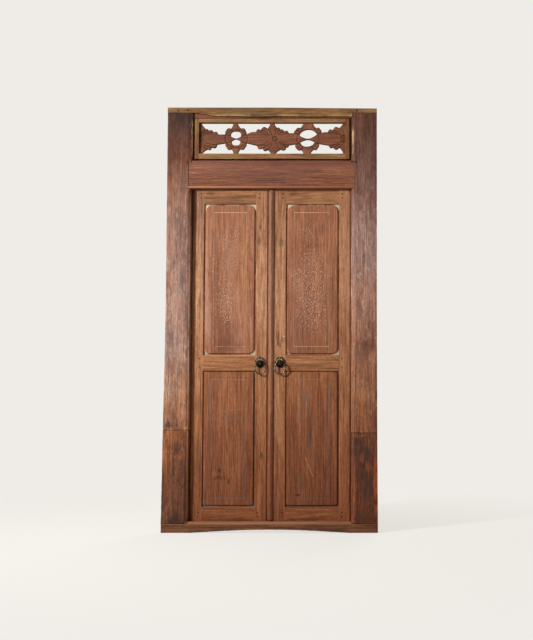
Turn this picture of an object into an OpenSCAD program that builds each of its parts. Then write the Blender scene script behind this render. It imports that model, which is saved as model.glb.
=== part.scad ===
// Old double-leaf temple door in its own timber frame: hewn posts spliced to newer feet, a worn
// sill, a lintel, a pierced and carved transom, and two panelled leaves that turn on wooden
// pintles and open inwards (+Y). Each leaf has a ring pull on a domed rose.
// Millimetres, +Z up. The origin is on the floor plane under the sill, in the middle of the
// doorway and on the front plane of the leaves. The street side is -Y.

/* [Doorway] */
// Clear width between the posts
opening_w = 843; // [700:1:1100]
// Clear height from the sill's lip to the underside of the lintel
opening_h = 1718; // [1400:1:2200]
// Distance of the meeting line to the right of the middle
meet_off = 16; // [0:0.5:30]
// Depth of the frame from front to back
frame_d = 60; // [52:1:80]
// Setback of the leaves behind the front of the frame
leaf_set = 30; // [24:1:36]

/* [Posts] */
// Width of the left post above its waist
left_post_w = 122; // [100:1:160]
// Width of the left post at its splice
left_splice_w = 129; // [100:1:160]
// Width of the left foot at the sill
left_foot_w = 134; // [100:1:170]
// Height of the splice in the left post
left_splice_z = 522; // [300:1:700]
// Width of the right post above its waist
right_post_w = 128; // [100:1:160]
// Width of the right post at its splice
right_splice_w = 129.5; // [100:1:160]
// Width of the right foot at the sill
right_foot_w = 132.5; // [100:1:170]
// Height of the splice in the right post
right_splice_z = 509; // [300:1:700]
// Height above which the posts run straight
waist_z = 1050; // [800:1:1300]
// Length of the half lap behind each splice
lap_h = 110; // [80:1:160]
// How far the left post stands further in beside the transom
jamb_step = 10.5; // [0:0.5:16]
// Width of the worn chamfer along the inner corner
arris_w = 11; // [6:0.5:16]
// Depth of that chamfer
arris_d = 6; // [3:0.5:10]

/* [Sill, lintel and head] */
// Height of the sill under the feet
sill_h = 45.5; // [36:0.5:70]
// Rise of the worn hollow under the sill
sill_arch = 16; // [0:0.5:18]
// Length of the flat pad at each end of the sill
sill_pad = 150; // [100:1:220]
// Height of the lips that the leaves close against
lip_h = 11; // [8:0.5:16]
// Height of the lintel
lintel_h = 145; // [110:1:200]
// Setback of the lintel's face behind the posts
lintel_set = 3; // [0:0.5:6]
// Height of the round bead under the lintel
lintel_bead_h = 12.5; // [8:0.5:18]
// Clear height of the transom between lintel and head rail
transom_h = 228; // [180:1:320]
// Depth of the head rail below the tops of the posts
head_drop = 25.5; // [18:0.5:50]
// Height of the cap board above the posts
cap_h = 27; // [22:0.5:50]
// Thickness of the cap board
cap_t = 14; // [10:0.5:16]
// How far the cap board's waney edge hangs below the tops of the posts
cap_sag = 19; // [4:0.5:22]
// Fall of the cap board's top edge towards its right end
cap_fall = 5; // [0:0.5:8]

/* [Transom] */
// Thickness of the transom frame
transom_t = 32; // [26:1:38]
// Setback of the transom frame behind the posts
transom_set = 12; // [6:1:16]
// Shadow gap between the left post and the transom frame
transom_gap_left = 8.5; // [2:0.5:16]
// Shadow gap between the right post and the transom frame
transom_gap_right = 16; // [2:0.5:24]
// Shadow gap above the transom frame
transom_gap_top = 3; // [1:0.5:12]
// Shadow gap under the transom frame
transom_gap_bottom = 12; // [2:0.5:20]
// Width of the transom frame's side members
transom_side_w = 21; // [16:0.5:40]
// Height of the transom frame's top member
transom_top_w = 20; // [16:0.5:40]
// Height of the transom frame's bottom member
transom_bottom_w = 28; // [16:0.5:40]
// Thickness of the carved board
fret_t = 14; // [10:0.5:16]
// Depth of the groove that holds the carved board
fret_in = 6; // [4:0.5:10]
// Thickness of the tongue round the transom frame
tongue_t = 12; // [8:0.5:13]
// Depth of the tongue in the posts, lintel and head rail
tongue_in = 8; // [5:0.5:10]

/* [Leaves] */
// Thickness of the leaves
leaf_t = 30; // [28:1:36]
// Running gap round each leaf and between the leaves
leaf_gap = 3; // [2.5:0.5:5]
// Gap between a closed leaf and the lips in front of it
stop_gap = 1; // [0.5:0.5:2]
// Width of the heel stiles
heel_w = 66; // [60:0.5:100]
// Plain width of the meeting stiles
meet_w = 57.5; // [56:0.5:90]
// Width of the quirk beside the bead
quirk_w = 10; // [4:0.5:12]
// Depth of that quirk
quirk_d = 6; // [2:0.5:7]
// Width of the bead on the left leaf's edge
bead_w = 28; // [20:0.5:34]
// How far the bead stands proud
bead_h = 9; // [4:0.5:11]
// Height of the top rails
top_rail_w = 85.5; // [70:0.5:140]
// Height of the lock rails
lock_rail_w = 81; // [76:0.5:140]
// Height of the bottom rails
bottom_rail_w = 80; // [70:0.5:160]
// Height of the lock rail's lower edge above the leaf's foot
lock_rail_z = 778; // [500:1:900]
// Thickness of the tenons
tenon_t = 10; // [8:0.5:12]
// Length of the leaf's tenons
tenon_l = 45; // [30:1:50]
// Diameter of the pegs in the leaf's joints
peg_d = 7; // [5:0.5:9]
// Distance between the two pegs of a joint
peg_pitch = 21; // [14:0.5:30]
// Distance between the two pegs of a lock rail's joint
lock_peg_pitch = 44; // [40:0.5:50]
// Distance of the pegs from the joint's shoulder
peg_in = 16; // [10:0.5:20]
// Diameter of the pintles
pintle_d = 20; // [16:0.5:24]
// Length of the pintles in the sill and the lintel
pintle_l = 20; // [14:0.5:24]

/* [Panels] */
// Width of the panel groove
groove_w = 9; // [6:0.5:11]
// Distance from the leaf's face to the panel groove
groove_y = 8; // [6:0.5:9]
// Depth of the panel groove
groove_in = 9; // [6:0.5:12]
// Width of the sunk margin at the panel's edge
margin_w = 10; // [6:0.5:20]
// Width of the slope inside that margin
margin_slope = 5; // [2:0.5:6]
// Setback of the panel's field behind the leaf's face
field_set = 1; // [0.5:0.5:4]
// Corner radius of an upper panel's field
upper_field_r = 28; // [10:1:40]
// Corner radius of a lower panel's field
lower_field_r = 10; // [5:1:40]
// Distance of the scored line from the heel stile and from the meeting stile, left upper panel
left_upper_line = [49, 49]; // [30:1:70]
// The same for the left lower panel
left_lower_line = [39, 49]; // [30:1:70]
// The same for the right upper panel
right_upper_line = [52, 40]; // [30:1:70]
// The same for the right lower panel
right_lower_line = [53, 42]; // [30:1:70]
// Distance of the scored line from the panel's ends
line_end = 43; // [30:1:70]
// Width of the scored line
line_w = 3; // [1.5:0.5:5]
// Depth of the scored line
line_d = 1.5; // [0.5:0.5:3]

/* [Ring pulls] */
// Diameter of the rose
rose_d = 57; // [50:0.5:60]
// Height of the rose's dome
rose_h = 10; // [7:0.5:12]
// Thickness of the rose's metal
rose_t = 1.8; // [1.2:0.1:2.5]
// Distance of the rose's centre from the meeting stile's inner edge
rose_in = 26.5; // [24:0.5:30]
// Radius of the ring to the middle of its bar
ring_r = 30; // [26:0.5:40]
// Diameter of the ring's bar
ring_bar = 7.5; // [6:0.5:8]
// Distance of the ring in front of the leaf
ring_out = 17; // [16:0.5:20]
// Width of the eye that carries the ring
eye_w = 6; // [4:0.5:7]
// Wall of that eye round the ring's bar
eye_wall = 3.4; // [2.5:0.1:4]
// Diameter of the eye's shank through the leaf
shank_d = 8; // [6:0.5:9]
// Length of each clenched leg behind the leaf
leg_l = 22; // [16:1:28]

/* [Hidden] */
$fn = 48;

// Clearances and fixed small sizes
fit = 0.2;          // cheek clearance of tenons, tongues and panels
end_gap = 1;        // room at the end of a tenon, tongue or panel
peg_fit = 0.1;      // radial clearance of pegs, nails and brads
pintle_fit = 0.3;   // radial clearance of a pintle, and the gap under it
ring_fit = 0.3;     // gap under the ring's bar in its eye
eye_play = 0.85;    // radial play of the ring's bar in its eye
over = 1;           // how far a cutter runs past the face that it opens

// Frame planes
front_y = -leaf_set;
back_y = frame_d - leaf_set;
stop_y = -stop_gap;
jamb = opening_w / 2;

// Frame heights, from the floor up
sill_z = sill_h;
lip_z = sill_z + lip_h;
lintel_z = lip_z + opening_h;
lintel_top = lintel_z + lintel_h;
head_z = lintel_top + transom_h;
post_top = head_z + head_drop;
top_z = post_top + cap_h;
head_top = top_z - cap_fall;

// Frame joints
housing = arris_w;              // the lintel's shoulders lap over the chamfer
frame_tenon_t = 20;
frame_tenon_y = -8;             // front cheek of the lintel's tenons
lintel_tenon_l = 55;
lintel_tenon_in = 25;           // shoulder above and below the lintel's tenons
foot_tenon_l = 25;
foot_tenon_w = 50;
foot_tenon_in = 40;             // from the jamb to the foot's tenon
head_tenon_w = 40;
head_tenon_t = 14;
head_tenon_in = 50;             // from the jamb to the head tenon
frame_peg_d = 12;
frame_peg_front = -12;          // the pegs are driven from the back and end here
lap_y = (front_y + back_y) / 2;

// Transom
transom_y0 = front_y + transom_set;
transom_y1 = transom_y0 + transom_t;
tongue_y = 0;
fret_y = transom_y0 + 10;
transom_x0 = -jamb + jamb_step + transom_gap_left;
transom_x1 = jamb - transom_gap_right;
transom_z0 = lintel_top + transom_gap_bottom;
transom_z1 = head_z - transom_gap_top;
fret_x0 = transom_x0 + transom_side_w;
fret_x1 = transom_x1 - transom_side_w;
fret_z0 = transom_z0 + transom_bottom_w;
fret_z1 = transom_z1 - transom_top_w;

// Leaves. A leaf is drawn with its pintle axis at x = 0 and its meeting edge towards +X.
pivot_x = jamb - leaf_gap - leaf_t / 2;
pivot_y = leaf_t / 2;
leaf_z0 = sill_z + leaf_gap;
leaf_z1 = lintel_z + lip_h - leaf_gap;
heel_x = heel_w - leaf_t / 2;
left_edge = pivot_x + meet_off - leaf_gap / 2;
right_edge = pivot_x - meet_off - leaf_gap / 2;
left_meet_x = left_edge - bead_w - quirk_w - meet_w;
right_meet_x = right_edge - meet_w;
bottom_rail = [leaf_z0, leaf_z0 + bottom_rail_w];
lock_rail = [leaf_z0 + lock_rail_z, leaf_z0 + lock_rail_z + lock_rail_w];
top_rail = [leaf_z1 - top_rail_w, leaf_z1];
tenon_y = (leaf_t - tenon_t) / 2;
tenon_in = 8;                   // shoulder above and below a leaf's tenon
peg_short = 0.5;                // the pegs end this far inside both faces
bead_gap = 2;                   // from the bead's ends to the lips
brad_d = 2.4;
brad_l = 22;
brad_count = 6;

// Ring pulls
pull_z = (lock_rail[0] + lock_rail[1]) / 2 + 3;
eye_hole_r = ring_bar / 2 + eye_play;
eye_r = eye_hole_r + eye_wall;
bar_bend = ring_r - sqrt(ring_r * ring_r - eye_w * eye_w / 4);
ring_seat = eye_play - ring_fit - bar_bend;
shank_fit = 0.3;
washer_d = 22;
washer_t = 1.5;
leg_t = 2.5;
leg_w = 3.5;

// Nails: [distance outwards from the jamb, height] in the cap board over each post
cap_nail_z = post_top + 11;
nail_d = 4;
nail_head_d = 9;
nail_head_t = 1.5;
nail_l = 26;
corner_nail_z = lintel_top - 6;

// Carving, drawn on a field of this size and stretched to the transom's clear opening
carving_size = [765, 165];
medallion_x = 188;
// Each cusp is [x, z, swell]: the edge to the next cusp swells out by that share of its length
upper_cusps = [
    [[-372, 82.5, -0.05], [-348, 50, 0.3], [-334, 42, 0.3], [-308, 33, 0.35], [-284, 22, 0],
     [-246, 22, 0.15], [-243, 42, 0.3], [-217, 52, -0.08], [-205, 82.5, 0]],
    [[-182, 82.5, -0.08], [-163, 53, 0.3], [-140, 42, 0.15], [-137, 21, 0.1], [-86, 35, 0.35],
     [-61, 46, 0.35], [-25, 53, -0.08], [-12, 82.5, 0]],
    [[10, 82.5, -0.08], [25, 57, 0.3], [42, 48, 0.3], [61, 38, 0.35], [86, 29, 0],
     [114, 29, 0.2], [122, 46, 0.25], [146, 56, -0.08], [162, 82.5, 0]],
    [[213, 82.5, -0.08], [230, 55, 0.3], [250, 50, 0.2], [256, 29, 0.1], [290, 33, 0.35],
     [317, 45, 0.35], [350, 56, -0.05], [371, 82.5, 0]]];
lower_cusps = [
    [[-370, -82.5, -0.05], [-339, -57, 0.35], [-317, -47, 0.35], [-288, -32, 0], [-244, -25, 0.2],
     [-240, -46, 0.3], [-214, -56, -0.08], [-203, -82.5, 0]],
    [[-178, -82.5, -0.08], [-167, -56, 0.3], [-142, -46, 0.2], [-136, -24, 0], [-80, -38, 0.35],
     [-52, -52, 0.35], [-24, -60, -0.05], [-6, -82.5, 0]],
    [[14, -82.5, -0.05], [44, -58, 0.35], [74, -46, 0.35], [86, -36, 0], [121, -30, 0.2],
     [128, -54, 0.25], [150, -60, -0.08], [164, -82.5, 0]],
    [[199, -82.5, -0.08], [218, -58, 0.3], [238, -50, 0.2], [244, -28, 0], [296, -37, 0.35],
     [318, -47, 0.35], [351, -48, -0.1], [371, -82.5, 0]]];
// The eyes of the two medallions, as cusps round each hole
eye_cusps = [
    [[-217, 12, -0.3], [-190, 38, -0.3], [-164, 12, -0.05], [-186, 1, 0], [-194, 1, -0.05]],
    [[-212, -14, -0.05], [-194, -4, 0], [-186, -4, -0.05], [-168, -14, -0.3], [-190, -36, -0.3]],
    [[141, 17, -0.15], [188, 47, -0.15], [234, 23, -0.05], [193, 0, 0], [179, 0, -0.05]],
    [[146, -21, -0.05], [180, -7, 0], [192, -7, -0.05], [221, -19, -0.15], [186, -42, -0.2]]];
swell_steps = 5;

// Colours
post_color = [0.45, 0.28, 0.21];
foot_color = [0.41, 0.25, 0.18];
beam_color = [0.47, 0.28, 0.20];
cap_color = [0.60, 0.46, 0.26];
carving_color = [0.50, 0.30, 0.21];
leaf_color = [0.66, 0.46, 0.32];
panel_color = [0.60, 0.38, 0.27];
bead_color = [0.62, 0.45, 0.36];
peg_color = [0.33, 0.22, 0.15];
brass_color = [0.48, 0.42, 0.33];
iron_color = [0.22, 0.20, 0.19];

// ---------------------------------------------------------------- helpers

// A block between two corners
module box(low, high) {
    translate(low) cube(high - low);
}

// Extrudes an outline drawn in X and Z from one Y to another
module slab(y0, y1) {
    translate([0, y1, 0]) rotate([90, 0, 0]) linear_extrude(y1 - y0) children();
}

// Extrudes an outline drawn in Y and Z from one X to another
module bar(x0, x1) {
    translate([x0, 0, 0]) rotate([90, 0, 90]) linear_extrude(x1 - x0) children();
}

// A round rod along Y
module rod_y(x, z, y0, y1, d) {
    translate([x, y1, z]) rotate([90, 0, 0]) cylinder(h = y1 - y0, d = d);
}

// A rectangle with rounded corners
module round_rect(x0, z0, x1, z1, r) {
    for (x = [x0 + r, x1 - r], z = [z0 + r, z1 - r]) translate([x, z]) circle(r, $fn = 32);
    translate([x0 + r, z0]) square([x1 - x0 - 2 * r, z1 - z0]);
    translate([x0, z0 + r]) square([x1 - x0, z1 - z0 - 2 * r]);
}

// Eases from 0 to 1
function ease(t) = t <= 0 ? 0 : t >= 1 ? 1 : t * t * (3 - 2 * t);

// ---------------------------------------------------------------- posts

// A post is drawn on the right-hand side; the left one is its mirror with its own widths.
// Outline of the upper post down to its splice
module post_outline(w, splice_w, splice_z, step) {
    polygon([[jamb, splice_z], [jamb, lintel_z], [jamb + housing, lintel_z],
             [jamb + housing, lintel_top], [jamb - step, lintel_top], [jamb - step, post_top],
             [jamb + w, post_top], [jamb + w, waist_z], [jamb + splice_w, splice_z]]);
}

// The half lap that hangs behind the splice, grown by a clearance for its seat
module lap_tongue(splice_w, splice_z, grow) {
    box([jamb, lap_y - grow, splice_z - lap_h - grow], [jamb + splice_w, back_y, splice_z + over]);
}

// The worn chamfer along the post's inner front corner
module arris_cut(x, w, z0, z1) {
    translate([0, 0, z0]) linear_extrude(z1 - z0)
        polygon([[x - over, front_y - over], [x + w, front_y - over], [x + w, front_y],
                 [x, front_y + arris_d], [x - over, front_y + arris_d]]);
}

// Pegs of one side: two through the lintel's tenon and two through the splice
module frame_peg_rods(splice_w, splice_z, y0, y1, d) {
    for (s = [-1, 1]) {
        rod_y(jamb + housing + lintel_tenon_l / 2, (lintel_z + lintel_top) / 2 + s * lintel_h / 5,
              y0, y1, d);
        rod_y(jamb + splice_w / 2 + s * splice_w / 6, splice_z - lap_h / 2 + s * lap_h / 5,
              y0, y1, d);
    }
}

module frame_peg_holes(splice_w, splice_z) {
    frame_peg_rods(splice_w, splice_z, frame_peg_front - peg_fit, back_y + over,
                   frame_peg_d + 2 * peg_fit);
}

module head_tenon(grow) {
    box([jamb + head_tenon_in - grow, tongue_y - grow, post_top - over],
        [jamb + head_tenon_in + head_tenon_w + grow, tongue_y + head_tenon_t + grow,
         head_top - end_gap + grow]);
}

module post(w, splice_w, splice_z, step) {
    difference() {
        union() {
            slab(front_y, back_y) post_outline(w, splice_w, splice_z, step);
            lap_tongue(splice_w, splice_z, 0);
            head_tenon(0);
        }
        arris_cut(jamb, arris_w, splice_z, lintel_z);
        arris_cut(jamb - step, arris_w + step, lintel_top, post_top);
        lintel_tenon(fit, end_gap);
        box([jamb - step - over, tongue_y, lintel_top],
            [jamb - step + tongue_in, tongue_y + tongue_t, head_z]);
        frame_peg_holes(splice_w, splice_z);
        corner_nail_holes();
    }
}

module foot_tenon(grow) {
    box([jamb + foot_tenon_in - grow, -frame_tenon_t / 2 - grow, sill_z - foot_tenon_l - grow],
        [jamb + foot_tenon_in + foot_tenon_w + grow, frame_tenon_t / 2 + grow, sill_z + over]);
}

module post_foot(splice_w, foot_w, splice_z) {
    difference() {
        union() {
            slab(front_y, back_y)
                polygon([[jamb, sill_z], [jamb, splice_z], [jamb + splice_w, splice_z],
                         [jamb + foot_w, sill_z]]);
            foot_tenon(0);
        }
        box([jamb - over, lap_y, splice_z - lap_h],
            [jamb + foot_w + over, back_y + over, splice_z + over]);
        arris_cut(jamb, arris_w, lip_z, splice_z + over);
        frame_peg_holes(splice_w, splice_z);
    }
}

module left_post() {
    color(post_color) mirror([1, 0, 0])
        post(left_post_w, left_splice_w, left_splice_z, jamb_step);
}

module left_post_foot() {
    color(foot_color) mirror([1, 0, 0]) post_foot(left_splice_w, left_foot_w, left_splice_z);
}

module right_post() {
    color(post_color) post(right_post_w, right_splice_w, right_splice_z, 0);
}

module right_post_foot() {
    color(foot_color) post_foot(right_splice_w, right_foot_w, right_splice_z);
}

module frame_pegs() {
    color(peg_color) {
        mirror([1, 0, 0]) frame_peg_rods(left_splice_w, left_splice_z, frame_peg_front,
                                         back_y - peg_short, frame_peg_d);
        frame_peg_rods(right_splice_w, right_splice_z, frame_peg_front,
                       back_y - peg_short, frame_peg_d);
    }
}

// ---------------------------------------------------------------- sill, lintel, head and cap

// Socket of a leaf's pintle, cut upwards from z
module pintle_socket(side, z, h) {
    translate([side * pivot_x, pivot_y, z]) cylinder(h = h, d = pintle_d + 2 * pintle_fit);
}

module sill() {
    left_x = -jamb - left_foot_w;
    right_x = jamb + right_foot_w;
    arch_x0 = left_x + sill_pad;
    arch_w = right_x - sill_pad - arch_x0;
    arch = [for (i = [0:24]) [arch_x0 + arch_w * i / 24, sill_arch * sin(180 * i / 24)]];
    color(foot_color) difference() {
        union() {
            slab(front_y, back_y)
                polygon(concat([[left_x, 0]], arch, [[right_x, 0], [right_x, sill_z],
                                                     [left_x, sill_z]]));
            bar(-jamb, jamb)
                polygon([[front_y, sill_z - over], [stop_y, sill_z - over], [stop_y, lip_z],
                         [front_y + arris_d, lip_z], [front_y, sill_z]]);
        }
        for (side = [-1, 1]) pintle_socket(side, sill_z - pintle_l - pintle_fit, sill_z);
        foot_tenon(fit);
        mirror([1, 0, 0]) foot_tenon(fit);
    }
}

// The lintel's tenon on the right, grown by a clearance and lengthened for its mortise
module lintel_tenon(grow, longer) {
    box([jamb + housing - over, frame_tenon_y - grow, lintel_z + lintel_tenon_in - grow],
        [jamb + housing + lintel_tenon_l + longer, frame_tenon_y + frame_tenon_t + grow,
         lintel_top - lintel_tenon_in + grow]);
}

module lintel_outline() {
    bead_r = lintel_bead_h / 2;
    bead_y = front_y + bead_r - 0.5;
    quirk_top = lintel_z + lintel_bead_h + 2;
    face_y = front_y + lintel_set;
    polygon([[bead_y, lintel_z], [stop_y, lintel_z], [stop_y, lintel_z + lip_h],
             [back_y, lintel_z + lip_h], [back_y, lintel_top], [face_y, lintel_top],
             [face_y, quirk_top], [bead_y, quirk_top]]);
    translate([bead_y, lintel_z + bead_r]) circle(bead_r);
}

module lintel() {
    color(beam_color) difference() {
        union() {
            bar(-jamb - housing, jamb + housing) lintel_outline();
            lintel_tenon(0, 0);
            mirror([1, 0, 0]) lintel_tenon(0, 0);
        }
        for (side = [-1, 1]) pintle_socket(side, lintel_z + lip_h - over,
                                           pintle_l + over + leaf_gap);
        box([-jamb + jamb_step, tongue_y, lintel_top - tongue_in],
            [jamb, tongue_y + tongue_t, lintel_top + over]);
        frame_peg_holes(right_splice_w, right_splice_z);
        mirror([1, 0, 0]) frame_peg_holes(left_splice_w, left_splice_z);
        corner_nail_holes();
        mirror([1, 0, 0]) corner_nail_holes();
    }
}

module head_rail() {
    y0 = front_y + cap_t;
    color(beam_color) difference() {
        union() {
            box([-jamb + jamb_step, y0, head_z], [jamb, back_y, post_top + over]);
            box([-jamb - left_post_w, y0, post_top], [jamb + right_post_w, back_y, head_top]);
        }
        box([-jamb + jamb_step - over, tongue_y, head_z - over],
            [jamb + over, tongue_y + tongue_t, head_z + tongue_in]);
        head_tenon(fit);
        mirror([1, 0, 0]) head_tenon(fit);
        cap_nail_holes();
    }
}

// Lower edge of the cap board between the posts, as it grew on the tree
function waney_z(x) =
    post_top - cap_sag * ease((x + jamb) / 170) - 1.5 * ease(x / jamb)
    + 1.2 * sin(x * 1.3) * ease((x + jamb) / 80);

module cap_board() {
    x0 = -jamb + jamb_step + fit;
    x1 = jamb - fit;
    left_x = -jamb - left_post_w;
    right_x = jamb + right_post_w;
    steps = 32;
    waney = [for (i = [0:steps]) let (x = x0 + (x1 - x0) * i / steps) [x, waney_z(x)]];
    color(cap_color) difference() {
        slab(front_y, front_y + cap_t)
            polygon(concat([[left_x, top_z], [left_x, post_top], [x0, post_top]], waney,
                           [[x1, post_top], [right_x, post_top], [right_x, head_top],
                            [0, top_z]]));
        cap_nail_holes();
    }
}

// ---------------------------------------------------------------- nails in the frame

// A nail along Y with its head on the plane face_y
module nail(x, z, face_y) {
    rod_y(x, z, face_y - nail_head_t, face_y, nail_head_d);
    rod_y(x, z, face_y - over, face_y + nail_l, nail_d);
}

module nail_hole(x, z, face_y) {
    rod_y(x, z, face_y - over, face_y + nail_l + peg_fit, nail_d + 2 * peg_fit);
}

// Two nails over the left post and one over the right, as [x, z]
cap_nails_at = [[-jamb - 67, cap_nail_z], [-jamb - 18, cap_nail_z + 2],
                [jamb + 22, cap_nail_z]];

module cap_nail_holes() {
    for (p = cap_nails_at) nail_hole(p[0], p[1], front_y);
}

module cap_nails() {
    color(iron_color) for (p = cap_nails_at) nail(p[0], p[1], front_y);
}

// The pair of nails at each upper corner of the lintel: one in the post, one in the lintel
module corner_nail_holes() {
    nail_hole(jamb + housing + 5, corner_nail_z, front_y);
    nail_hole(jamb + housing - 13, corner_nail_z, front_y + lintel_set);
}

module corner_nail_pair() {
    nail(jamb + housing + 5, corner_nail_z, front_y);
    nail(jamb + housing - 13, corner_nail_z, front_y + lintel_set);
}

module corner_nails() {
    color(iron_color) {
        corner_nail_pair();
        mirror([1, 0, 0]) corner_nail_pair();
    }
}

// ---------------------------------------------------------------- transom

// Groove for the carved board, all round the clear opening
module fret_groove() {
    box([fret_x0 - fret_in, fret_y, fret_z0 - fret_in],
        [fret_x1 + fret_in, fret_y + fret_t, fret_z1 + fret_in]);
}

// A side member between two x, with its tongue reaching out to tongue_x
module transom_side(x0, x1, tongue_x0, tongue_x1) {
    difference() {
        union() {
            box([x0, transom_y0, transom_z0], [x1, transom_y1, transom_z1]);
            box([tongue_x0, tongue_y + fit, lintel_top + fit],
                [tongue_x1, tongue_y + tongue_t - fit, head_z - fit]);
        }
        box([fret_x0 - fret_in, fret_y, transom_z0 - over],
            [fret_x1 + fret_in, fret_y + fret_t, transom_z1 + over]);
    }
}

module transom_left() {
    color(carving_color)
        transom_side(transom_x0, fret_x0, -jamb + jamb_step - tongue_in + end_gap, fret_x0 - fret_in);
}

module transom_right() {
    color(carving_color)
        transom_side(fret_x1, transom_x1, fret_x1 + fret_in, jamb + tongue_in - end_gap);
}

// A cross member between the sides, with stub tenons in their grooves and its own tongue
module transom_cross(z0, z1, tongue_z0, tongue_z1) {
    difference() {
        union() {
            box([fret_x0, transom_y0, z0], [fret_x1, transom_y1, z1]);
            box([fret_x0 - fret_in + end_gap, fret_y + fit, z0],
                [fret_x1 + fret_in - end_gap, fret_y + fret_t - fit, z1]);
            box([fret_x0, tongue_y + fit, tongue_z0],
                [fret_x1, tongue_y + tongue_t - fit, tongue_z1]);
        }
        fret_groove();
    }
}

module transom_top() {
    color(carving_color)
        transom_cross(fret_z1, transom_z1, fret_z1 + fret_in, head_z + tongue_in - end_gap);
}

module transom_bottom() {
    color(carving_color)
        transom_cross(transom_z0, fret_z0, lintel_top - tongue_in + end_gap, fret_z0 - fret_in);
}

// Points from cusp p to cusp q along an edge that swells by p's third value; side is +1 to
// swell to the left of the way from p to q
function swell(p, q, side) =
    [for (i = [0:swell_steps - 1])
        let (t = i / swell_steps, lift = 4 * p[2] * t * (1 - t) * side)
        [p[0] + t * (q[0] - p[0]) - lift * (q[1] - p[1]),
         p[1] + t * (q[1] - p[1]) + lift * (q[0] - p[0])]];

function cusp_path(cusps, side) =
    [for (i = [0:len(cusps) - 1]) each swell(cusps[i], cusps[(i + 1) % len(cusps)], side)];

// Moves a point of the carving's own drawing to its place in the transom
function place_carving(p) =
    [(fret_x0 + fret_x1) / 2 + p[0] * (fret_x1 - fret_x0) / carving_size[0],
     (fret_z0 + fret_z1) / 2 + p[1] * (fret_z1 - fret_z0) / carving_size[1]];

module carving_hole(cusps, side) {
    polygon([for (p = cusp_path(cusps, side)) place_carving(p)]);
}

module fretwork() {
    color(carving_color) slab(fret_y + fit, fret_y + fret_t - fit) difference() {
        translate([fret_x0 - fret_in + end_gap, fret_z0 - fret_in + end_gap])
            square([fret_x1 - fret_x0 + 2 * (fret_in - end_gap),
                    fret_z1 - fret_z0 + 2 * (fret_in - end_gap)]);
        for (cusps = upper_cusps) carving_hole(cusps, 1);
        for (cusps = lower_cusps) carving_hole(cusps, -1);
        for (cusps = eye_cusps) carving_hole(cusps, -1);
    }
}

// ---------------------------------------------------------------- leaves

// Puts a leaf's piece, drawn from its pintle axis, in its place in the doorway
module left_leaf() {
    translate([-pivot_x, 0, 0]) children();
}

module right_leaf() {
    translate([pivot_x, 0, 0]) mirror([1, 0, 0]) children();
}

// Tenon of a rail that points to -X from its shoulder at x, grown for its mortise
module rail_tenon(x, rail, grow, longer) {
    box([x - tenon_l - longer, tenon_y - grow, rail[0] + tenon_in - grow],
        [x + over, tenon_y + tenon_t + grow, rail[1] - tenon_in + grow]);
}

// The same tenon at a rail's other end
module rail_tenon_far(x, rail, grow, longer) {
    translate([2 * x, 0, 0]) mirror([1, 0, 0]) rail_tenon(x, rail, grow, longer);
}

// The pegs of one rail, at both of its joints
module rail_peg_rods(meet_x, rail, pitch, y0, y1, d) {
    for (x = [heel_x - peg_in, meet_x + peg_in], s = [-1, 1])
        rod_y(x, (rail[0] + rail[1]) / 2 + s * pitch / 2, y0, y1, d);
}

module leaf_peg_rods(meet_x, y0, y1, d) {
    rail_peg_rods(meet_x, bottom_rail, peg_pitch, y0, y1, d);
    rail_peg_rods(meet_x, lock_rail, lock_peg_pitch, y0, y1, d);
    rail_peg_rods(meet_x, top_rail, peg_pitch, y0, y1, d);
}

module leaf_peg_holes(meet_x) {
    leaf_peg_rods(meet_x, -over, leaf_t + over, peg_d + 2 * peg_fit);
}

module leaf_pegs(meet_x) {
    color(peg_color) leaf_peg_rods(meet_x, peg_short, leaf_t - peg_short, peg_d);
}

// The groove that takes the panels, over the whole height between the outer rails
module panel_groove(x0, x1) {
    box([x0, groove_y, bottom_rail[1] - groove_in],
        [x1, groove_y + groove_w, top_rail[0] + groove_in]);
}

module pull_hole(meet_x) {
    rod_y(meet_x + rose_in, pull_z, -over, leaf_t + over, shank_d + 2 * shank_fit);
}

// Hanging stile: its heel is rounded about the pintle axis
module heel_stile(meet_x) {
    color(leaf_color) difference() {
        union() {
            translate([0, 0, leaf_z0]) linear_extrude(leaf_z1 - leaf_z0) {
                translate([0, pivot_y]) circle(d = leaf_t);
                square([heel_x, leaf_t]);
            }
            translate([0, pivot_y, sill_z - pintle_l])
                cylinder(h = leaf_z1 + leaf_gap + pintle_l - (sill_z - pintle_l), d = pintle_d);
        }
        for (rail = [bottom_rail, lock_rail, top_rail]) rail_tenon(heel_x, rail, fit, end_gap);
        panel_groove(heel_x - groove_in, heel_x + over);
        leaf_peg_holes(meet_x);
    }
}

module meeting_stile(meet_x, edge_x) {
    difference() {
        box([meet_x, 0, leaf_z0], [edge_x, leaf_t, leaf_z1]);
        for (rail = [bottom_rail, lock_rail, top_rail])
            rail_tenon_far(meet_x, rail, fit, end_gap);
        panel_groove(meet_x - over, meet_x + groove_in);
        leaf_peg_holes(meet_x);
        pull_hole(meet_x);
    }
}

module rail(meet_x, z) {
    color(leaf_color) difference() {
        union() {
            box([heel_x, 0, z[0]], [meet_x, leaf_t, z[1]]);
            rail_tenon(heel_x, z, 0, 0);
            rail_tenon_far(meet_x, z, 0, 0);
        }
        box([heel_x - over, groove_y, bottom_rail[1] - groove_in],
            [meet_x + over, groove_y + groove_w, lock_rail[0] + groove_in]);
        box([heel_x - over, groove_y, lock_rail[1] - groove_in],
            [meet_x + over, groove_y + groove_w, top_rail[0] + groove_in]);
        leaf_peg_holes(meet_x);
        pull_hole(meet_x);
    }
}

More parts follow.
